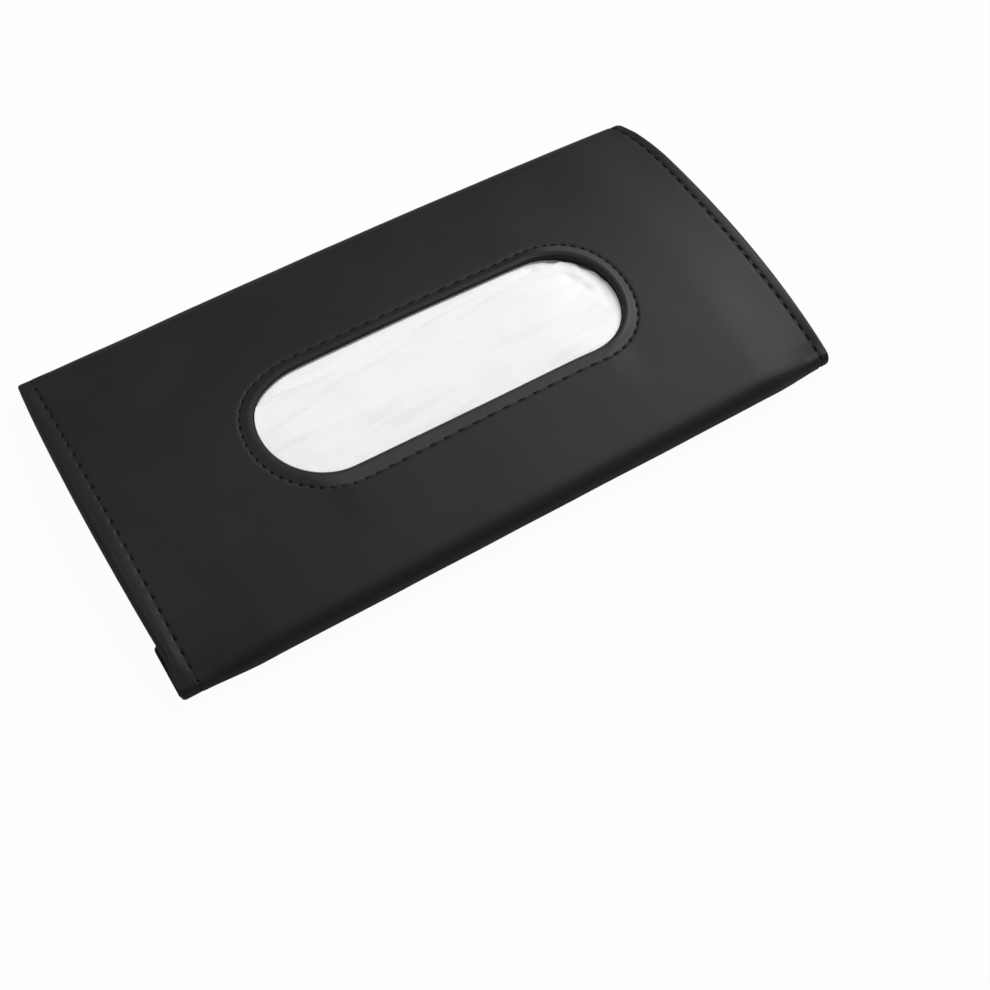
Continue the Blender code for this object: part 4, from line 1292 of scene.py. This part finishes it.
def rim_hollow(x, u):
    """How far the tissues sink away from the lip, in a ragged strip by the window's far right."""
    along = np.clip((x - RIM_HOLLOW_START) / RIM_HOLLOW_LENGTH, 0.0, 1.0)
    width = RIM_HOLLOW_WIDTH + RIM_HOLLOW_WAVER * waves(x, u, RIM_HOLLOW_WAVER_SIZE, seed=3)
    ragged = width * np.sin(math.pi * along) ** 0.5
    strip = smooth((ragged + window_offset(x, u)) / RIM_HOLLOW_EDGE)
    return RIM_HOLLOW * strip * smooth((u - WINDOW_Y) / RIM_HOLLOW_NEAR_FADE)


def build_pack(film, tissue):
    """The pack: a film sleeve crimped at both ends, its pile of tissues and the top tissue."""
    creases = film_creases()
    folds = scattered(PAPER_FOLDS, random.Random(5)) + LONG_FOLDS + HOLLOWS

    def paper_folds(x, u):
        return crease_height(x, u, folds) * smooth(-window_offset(x, u) / PAPER_FOLD_FADE)

    def sinking_folds(x, u):
        return paper_folds(x, u) - rim_hollow(x, u)

    def film_folds(x, u):
        loose = smooth((-window_offset(x, u) - RIM_HELD) / FILM_CREASE_FADE)
        return crease_height(x, u, creases) * loose + paper_folds(x, u)

    inside = FILM + GAP
    points, faces = closed_pack(PACK_HALF_LENGTH + PACK_FIN_LENGTH, PACK_SIDE, 0.0, film_folds)
    mesh_piece("film_sleeve", points, faces, film, "case", "film", "tissue_wrapper")

    under_film = TISSUE_GAP + TOP_TISSUE + GAP
    tissue_half = PACK_HALF_LENGTH - GAP
    points, faces = closed_pack(tissue_half, PACK_SIDE - inside, under_film, sinking_folds)
    mesh_piece("tissue_pile", points, faces, tissue, "case", "tissue", "tissue_stack")

    flat, faces, *_ = pack_pattern(tissue_half, PACK_SIDE - inside, top_tissue_edge)
    x, u = flat[:, 0], flat[:, 1]
    points = pack_top(x, u, TISSUE_GAP - sinking_folds(x, u))
    top = mesh_piece("top_tissue_sheet", points, faces, tissue, "case", "tissue", "top_tissue")
    thicken(top, TOP_TISSUE / 2)


# Finishes


def group(name, inputs, outputs):
    """A shader group with named sockets: its tree, its input node and its output node."""
    tree = bpy.data.node_groups.new(name, "ShaderNodeTree")
    for socket, kind, value in inputs:
        made = tree.interface.new_socket(socket, in_out="INPUT", socket_type=kind)
        made.default_value = value
    for socket, kind in outputs:
        tree.interface.new_socket(socket, in_out="OUTPUT", socket_type=kind)
    return tree, tree.nodes.new("NodeGroupInput"), tree.nodes.new("NodeGroupOutput")


def maths(tree, operation, first, second):
    """A Math node, fed by sockets or plain numbers."""
    node = tree.nodes.new("ShaderNodeMath")
    node.operation = operation
    for socket, value in zip(node.inputs, (first, second)):
        if isinstance(value, (int, float)):
            socket.default_value = value
        else:
            tree.links.new(value, socket)
    return node.outputs[0]


PEBBLES_PER_METRE = 1700.0
LEATHER_CLOUDS_PER_METRE = 38.0
PORES_PER_PEBBLE = 2.3
PORE_HEIGHT = 0.5  # of a pebble's


def grain_group():
    """Fine pebbled grain and slow cloudy variation, read from the piece's own coordinates."""
    tree, taken, given = group(
        "leather_grain",
        [
            ("Pebbles per metre", "NodeSocketFloat", PEBBLES_PER_METRE),
            ("Clouds per metre", "NodeSocketFloat", LEATHER_CLOUDS_PER_METRE),
        ],
        [("Height", "NodeSocketFloat"), ("Clouds", "NodeSocketFloat")],
    )
    where = tree.nodes.new("ShaderNodeTexCoord").outputs["Object"]
    pebbles = tree.nodes.new("ShaderNodeTexVoronoi")
    pebbles.feature = "SMOOTH_F1"
    pores = tree.nodes.new("ShaderNodeTexNoise")
    pores.inputs["Detail"].default_value = 4.0
    clouds = tree.nodes.new("ShaderNodeTexNoise")
    clouds.inputs["Detail"].default_value = 3.0
    for node in (pebbles, pores, clouds):
        tree.links.new(where, node.inputs["Vector"])
    per_metre = taken.outputs["Pebbles per metre"]
    tree.links.new(per_metre, pebbles.inputs["Scale"])
    tree.links.new(maths(tree, "MULTIPLY", per_metre, PORES_PER_PEBBLE), pores.inputs["Scale"])
    tree.links.new(taken.outputs["Clouds per metre"], clouds.inputs["Scale"])
    pore_height = maths(tree, "MULTIPLY", pores.outputs["Fac"], PORE_HEIGHT)
    height = maths(tree, "ADD", pebbles.outputs["Distance"], pore_height)
    tree.links.new(height, given.inputs["Height"])
    tree.links.new(clouds.outputs["Fac"], given.inputs["Clouds"])
    return tree


WAVE_SCALE = 0.16  # the wave texture's scale for one thread in each metre


def weave_group():
    """Crossed threads as a height, from two sets of waves."""
    tree, taken, given = group(
        "woven_threads",
        [("Threads per metre", "NodeSocketFloat", 2500.0)],
        [("Height", "NodeSocketFloat")],
    )
    where = tree.nodes.new("ShaderNodeTexCoord").outputs["Object"]
    scale = maths(tree, "MULTIPLY", taken.outputs["Threads per metre"], WAVE_SCALE)
    heights = []
    for direction in ("X", "Y"):
        wave = tree.nodes.new("ShaderNodeTexWave")
        wave.bands_direction = direction
        wave.inputs["Distortion"].default_value = 0.6
        tree.links.new(where, wave.inputs["Vector"])
        tree.links.new(scale, wave.inputs["Scale"])
        heights.append(wave.outputs["Fac"])
    tree.links.new(maths(tree, "MULTIPLY", *heights), given.inputs["Height"])
    return tree


# The tissue's grey streaks, painted shade of its folds, run askew along it
STREAK_TURN = math.radians(8.0)
STREAK_STRETCH = 7.0
STREAKS_PER_METRE = 230.0


def fibre_group():
    """Soft fibres of tissue paper, and long cloudy streaks for the tissue's painted fold shade and the
    film's haze.
    """
    tree, taken, given = group(
        "paper_fibres",
        [("Fibres per metre", "NodeSocketFloat", 900.0)],
        [("Height", "NodeSocketFloat"), ("Clouds", "NodeSocketFloat")],
    )
    where = tree.nodes.new("ShaderNodeTexCoord").outputs["Object"]
    fibres = tree.nodes.new("ShaderNodeTexNoise")
    fibres.inputs["Detail"].default_value = 8.0
    fibres.inputs["Distortion"].default_value = 1.2
    laid = tree.nodes.new("ShaderNodeMapping")
    laid.vector_type = "TEXTURE"
    laid.inputs["Rotation"].default_value = (0.0, 0.0, STREAK_TURN)
    laid.inputs["Scale"].default_value = (STREAK_STRETCH, 1.0, 1.0)
    clouds = tree.nodes.new("ShaderNodeTexNoise")
    clouds.inputs["Scale"].default_value = STREAKS_PER_METRE
    clouds.inputs["Detail"].default_value = 3.0
    tree.links.new(where, fibres.inputs["Vector"])
    tree.links.new(where, laid.inputs["Vector"])
    tree.links.new(laid.outputs["Vector"], clouds.inputs["Vector"])
    tree.links.new(taken.outputs["Fibres per metre"], fibres.inputs["Scale"])
    tree.links.new(fibres.outputs["Fac"], given.inputs["Height"])
    tree.links.new(clouds.outputs["Fac"], given.inputs["Clouds"])
    return tree


def material(name, colour, roughness, metallic=0.0, alpha=1.0):
    """A material with its node tree and its shader."""
    made = bpy.data.materials.new(name)
    made.use_nodes = True
    shader = made.node_tree.nodes["Principled BSDF"]
    shader.inputs["Base Color"].default_value = (*colour, 1.0)
    shader.inputs["Roughness"].default_value = roughness
    shader.inputs["Metallic"].default_value = metallic
    shader.inputs["Alpha"].default_value = alpha
    return made, made.node_tree, shader


def placed(tree, effect, **values):
    """A shader group placed in a material, with its own values."""
    node = tree.nodes.new("ShaderNodeGroup")
    node.node_tree = effect
    for socket, value in values.items():
        node.inputs[socket.replace("_", " ")].default_value = value
    return node


def bumped(tree, shader, height, strength, distance):
    """Raises a shader's surface by a height."""
    bump = tree.nodes.new("ShaderNodeBump")
    bump.inputs["Strength"].default_value = strength
    bump.inputs["Distance"].default_value = distance
    tree.links.new(height, bump.inputs["Height"])
    tree.links.new(bump.outputs["Normal"], shader.inputs["Normal"])


def ramp(tree, factor, low, high, low_at=0.3, high_at=0.7):
    """A colour that runs from low to high as the factor does."""
    node = tree.nodes.new("ShaderNodeValToRGB")
    first, last = node.color_ramp.elements
    first.position, first.color = low_at, (*low, 1.0)
    last.position, last.color = high_at, (*high, 1.0)
    tree.links.new(factor, node.inputs["Fac"])
    return node.outputs["Color"]


def between(tree, factor, low, high):
    """A value that runs from low to high as the factor does."""
    node = tree.nodes.new("ShaderNodeMapRange")
    node.inputs["To Min"].default_value = low
    node.inputs["To Max"].default_value = high
    tree.links.new(factor, node.inputs["Value"])
    return node.outputs["Result"]


LEATHER_DARK = (0.0108, 0.0108, 0.0100)
LEATHER_PALE = (0.0136, 0.0136, 0.0130)
# the paler colour of the painted sheen in the window's margin
LEATHER_PAINTED_SHEEN = (0.052, 0.052, 0.052)


def leather_finish(grain):
    made, tree, shader = material("black_leather", (0.010, 0.010, 0.0098), 0.5)
    effect = placed(
        tree, grain, Pebbles_per_metre=PEBBLES_PER_METRE, Clouds_per_metre=LEATHER_CLOUDS_PER_METRE
    )
    clouds = effect.outputs["Clouds"]
    # The painted sheen: the leather's colour is mixed towards a paler grey as the front's attribute
    # says
    painted_sheen = tree.nodes.new("ShaderNodeAttribute")
    painted_sheen.attribute_name = "painted_sheen"
    paler = tree.nodes.new("ShaderNodeMix")
    paler.data_type = "RGBA"
    paler.inputs["B"].default_value = (*LEATHER_PAINTED_SHEEN, 1.0)
    tree.links.new(painted_sheen.outputs["Fac"], paler.inputs["Factor"])
    tree.links.new(ramp(tree, clouds, low=LEATHER_DARK, high=LEATHER_PALE), paler.inputs["A"])
    tree.links.new(paler.outputs["Result"], shader.inputs["Base Color"])
    tree.links.new(between(tree, clouds, low=0.46, high=0.56), shader.inputs["Roughness"])
    shader.inputs["Specular IOR Level"].default_value = 0.17
    bumped(tree, shader, effect.outputs["Height"], strength=0.32, distance=0.00006)
    return made


WEAVE_SHADE = 0.6  # how dark the painted shade between a weave's threads is, as a share of its colour


def woven_finish(name, colour, weave, threads, roughness=0.85, gloss=0.5):
    made, tree, shader = material(name, colour, roughness)
    shader.inputs["Specular IOR Level"].default_value = gloss
    effect = placed(tree, weave, Threads_per_metre=threads)
    height = effect.outputs["Height"]
    darker = tuple(v * WEAVE_SHADE for v in colour)
    # Painted shade: the colour darkens between the threads, where the weave's height is low
    shaded = ramp(tree, height, low=darker, high=colour, low_at=0.1, high_at=0.8)
    tree.links.new(shaded, shader.inputs["Base Color"])
    bumped(tree, shader, height, strength=0.5, distance=0.0001)
    return made


# the tissue's colour in the painted shade of its folds, and out of it
TISSUE_PAINTED_SHADE = (0.832, 0.828, 0.842)
TISSUE_WHITE = (0.888, 0.888, 0.886)


def paper_finish(fibres):
    made, tree, shader = material("white_tissue", (0.86, 0.86, 0.86), 0.95)
    effect = placed(tree, fibres, Fibres_per_metre=900.0)
    clouds = effect.outputs["Clouds"]
    # Painted shade: grey streaks in the tissue's colour stand in for the shade of its folds
    fold_shade_painted = ramp(tree, clouds, low=TISSUE_PAINTED_SHADE, high=TISSUE_WHITE, low_at=0.34, high_at=0.46)
    tree.links.new(fold_shade_painted, shader.inputs["Base Color"])
    bumped(tree, shader, effect.outputs["Height"], strength=0.25, distance=0.0001)
    return made


def film_finish(fibres):
    made, tree, shader = material("clear_film", (0.90, 0.90, 0.91), 0.24, alpha=0.14)
    effect = placed(tree, fibres, Fibres_per_metre=340.0)
    haze = between(tree, effect.outputs["Clouds"], low=0.10, high=0.20)
    tree.links.new(haze, shader.inputs["Alpha"])
    bumped(tree, shader, effect.outputs["Height"], strength=0.20, distance=0.0001)
    return made


def steel_finish(grain):
    made, tree, shader = material("plated_steel", (0.60, 0.60, 0.61), 0.28, metallic=1.0)
    effect = placed(tree, grain, Pebbles_per_metre=900.0, Clouds_per_metre=300.0)
    worn = between(tree, effect.outputs["Clouds"], low=0.22, high=0.40)
    tree.links.new(worn, shader.inputs["Roughness"])
    return made


def board_finish(fibres):
    made, tree, shader = material("grey_board", (0.20, 0.19, 0.18), 0.85)
    effect = placed(tree, fibres, Fibres_per_metre=700.0)
    height = effect.outputs["Height"]
    flecked = ramp(tree, height, low=(0.15, 0.145, 0.135), high=(0.24, 0.23, 0.21))
    tree.links.new(flecked, shader.inputs["Base Color"])
    bumped(tree, shader, height, strength=0.3, distance=0.0001)
    return made


def foam_finish(fibres):
    made, tree, shader = material("grey_foam", (0.30, 0.30, 0.31), 0.95)
    effect = placed(tree, fibres, Fibres_per_metre=1500.0)
    height = effect.outputs["Height"]
    speckled = ramp(tree, height, low=(0.22, 0.22, 0.23), high=(0.36, 0.36, 0.37))
    tree.links.new(speckled, shader.inputs["Base Color"])
    bumped(tree, shader, height, strength=0.6, distance=0.0002)
    return made


def dress_node(name, finish):
    """Gives a part that stays as it is its finish."""
    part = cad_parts[name]
    part.data.materials.clear()
    part.data.materials.append(finish)


# The view, the floor and the light

FLOOR_SIZE = 4.0
FLOOR_DROP = 0.0002
FLOOR_WHITE = 0.96  # how far the camera sees the floor as plain white
BACKGROUND = (1.0, 1.0, 1.0, 1.0)
WORLD_LIGHT = 0.20


def build_camera():
    """The photograph's camera: the view's direction, its roll, and a small shift."""
    back = Vector(
        (
            math.sin(VIEW_AZIMUTH) * math.cos(VIEW_ELEVATION),
            -math.cos(VIEW_AZIMUTH) * math.cos(VIEW_ELEVATION),
            math.sin(VIEW_ELEVATION),
        )
    )
    right = Vector((math.cos(VIEW_AZIMUTH), math.sin(VIEW_AZIMUTH), 0.0))
    up = back.cross(right)
    turned_right = right * math.cos(VIEW_ROLL) + up * math.sin(VIEW_ROLL)
    turned_up = up * math.cos(VIEW_ROLL) - right * math.sin(VIEW_ROLL)
    lens = bpy.data.cameras.new("photo_camera")
    lens.sensor_width = SENSOR
    lens.lens = FOCAL_PIXELS / PHOTO_SIDE * SENSOR
    lens.shift_x = -VIEW_SHIFT_PIXELS[0] / PHOTO_SIDE
    lens.shift_y = VIEW_SHIFT_PIXELS[1] / PHOTO_SIDE
    lens.clip_start = 0.01
    camera = bpy.data.objects.new("photo_camera", lens)
    bpy.context.scene.collection.objects.link(camera)
    turned = Matrix((turned_right, turned_up, back)).transposed().to_4x4()
    camera.matrix_world = Matrix.Translation(VIEW_TARGET + back * VIEW_DISTANCE) @ turned
    bpy.context.scene.camera = camera


def build_floor():
    """A plain pale floor that keeps the pouch's soft shadow."""
    mesh = bpy.data.meshes.new("floor")
    half = FLOOR_SIZE / 2
    corners = [(-half, -half, 0), (half, -half, 0), (half, half, 0), (-half, half, 0)]
    mesh.from_pydata(corners, [], [(0, 1, 2, 3)])
    floor = bpy.data.objects.new("floor", mesh)
    floor.location.z = -FLOOR_DROP
    bpy.context.scene.collection.objects.link(floor)
    made, tree, shader = material("pale_floor", (0.62, 0.62, 0.62), 0.9)
    shader.inputs["Specular IOR Level"].default_value = 0.0
    out = tree.nodes["Material Output"]
    glow = tree.nodes.new("ShaderNodeEmission")
    glow.inputs["Color"].default_value = BACKGROUND
    seen = tree.nodes.new("ShaderNodeMixShader")
    path = tree.nodes.new("ShaderNodeLightPath")
    share = maths(tree, "MULTIPLY", path.outputs["Is Camera Ray"], FLOOR_WHITE)
    tree.links.new(share, seen.inputs["Fac"])
    tree.links.new(shader.outputs[0], seen.inputs[1])
    tree.links.new(glow.outputs[0], seen.inputs[2])
    tree.links.new(seen.outputs[0], out.inputs["Surface"])
    mesh.materials.append(made)


def background(tree, strength):
    node = tree.nodes.new("ShaderNodeBackground")
    node.inputs["Color"].default_value = BACKGROUND
    node.inputs["Strength"].default_value = strength
    return node.outputs[0]


def build_world():
    """A world that the camera sees as white and that lights the pouch softly."""
    world = bpy.data.worlds.new("studio")
    bpy.context.scene.world = world
    world.use_nodes = True
    tree = world.node_tree
    tree.nodes.clear()
    out = tree.nodes.new("ShaderNodeOutputWorld")
    path = tree.nodes.new("ShaderNodeLightPath")
    choose = tree.nodes.new("ShaderNodeMixShader")
    tree.links.new(path.outputs["Is Camera Ray"], choose.inputs["Fac"])
    tree.links.new(background(tree, WORLD_LIGHT), choose.inputs[1])
    tree.links.new(background(tree, 1.0), choose.inputs[2])
    tree.links.new(choose.outputs[0], out.inputs["Surface"])


def softbox(name, location, size, power):
    """A square area light that faces the pouch."""
    lamp = bpy.data.lights.new(name, "AREA")
    lamp.shape = "SQUARE"
    lamp.size = size
    lamp.energy = power
    light = bpy.data.objects.new(name, lamp)
    light.location = location
    light.rotation_euler = (-Vector(location)).to_track_quat("-Z", "Y").to_euler()
    bpy.context.scene.collection.objects.link(light)


def build_stage():
    build_camera()
    build_floor()
    build_world()
    softbox("key_softbox", (1.65, 0.48, 1.71), size=1.41, power=59.5)
    softbox("fill_softbox", (-0.7, 0.3, 0.9), size=0.7, power=3.7)
    bpy.context.scene.view_settings.view_transform = "Standard"


def main():
    build_stage()
    grain = grain_group()
    weave = weave_group()
    fibres = fibre_group()
    leather = leather_finish(grain)
    black = (0.005, 0.005, 0.005)
    thread = woven_finish("black_thread", black, weave, threads=5000.0, roughness=1.0, gloss=0.1)
    lining = woven_finish("black_lining", (0.030, 0.030, 0.032), weave, threads=2500.0)
    elastic = woven_finish("black_elastic", (0.018, 0.018, 0.018), weave, threads=1500.0)
    build_front_cover(leather)
    build_stitches(thread)
    build_back_cover(leather)
    build_linings(lining)
    build_foam(foam_finish(fibres))
    build_bands(elastic)
    build_flap(leather, lining)
    build_pack(film_finish(fibres), paper_finish(fibres))
    board = board_finish(fibres)
    for name in ("front_board", "back_board", "flap_board"):
        dress_node(name, board)
    steel = steel_finish(grain)
    for name in ("left_keeper_disc", "right_keeper_disc", "left_flap_magnet", "right_flap_magnet"):
        dress_node(name, steel)


main()
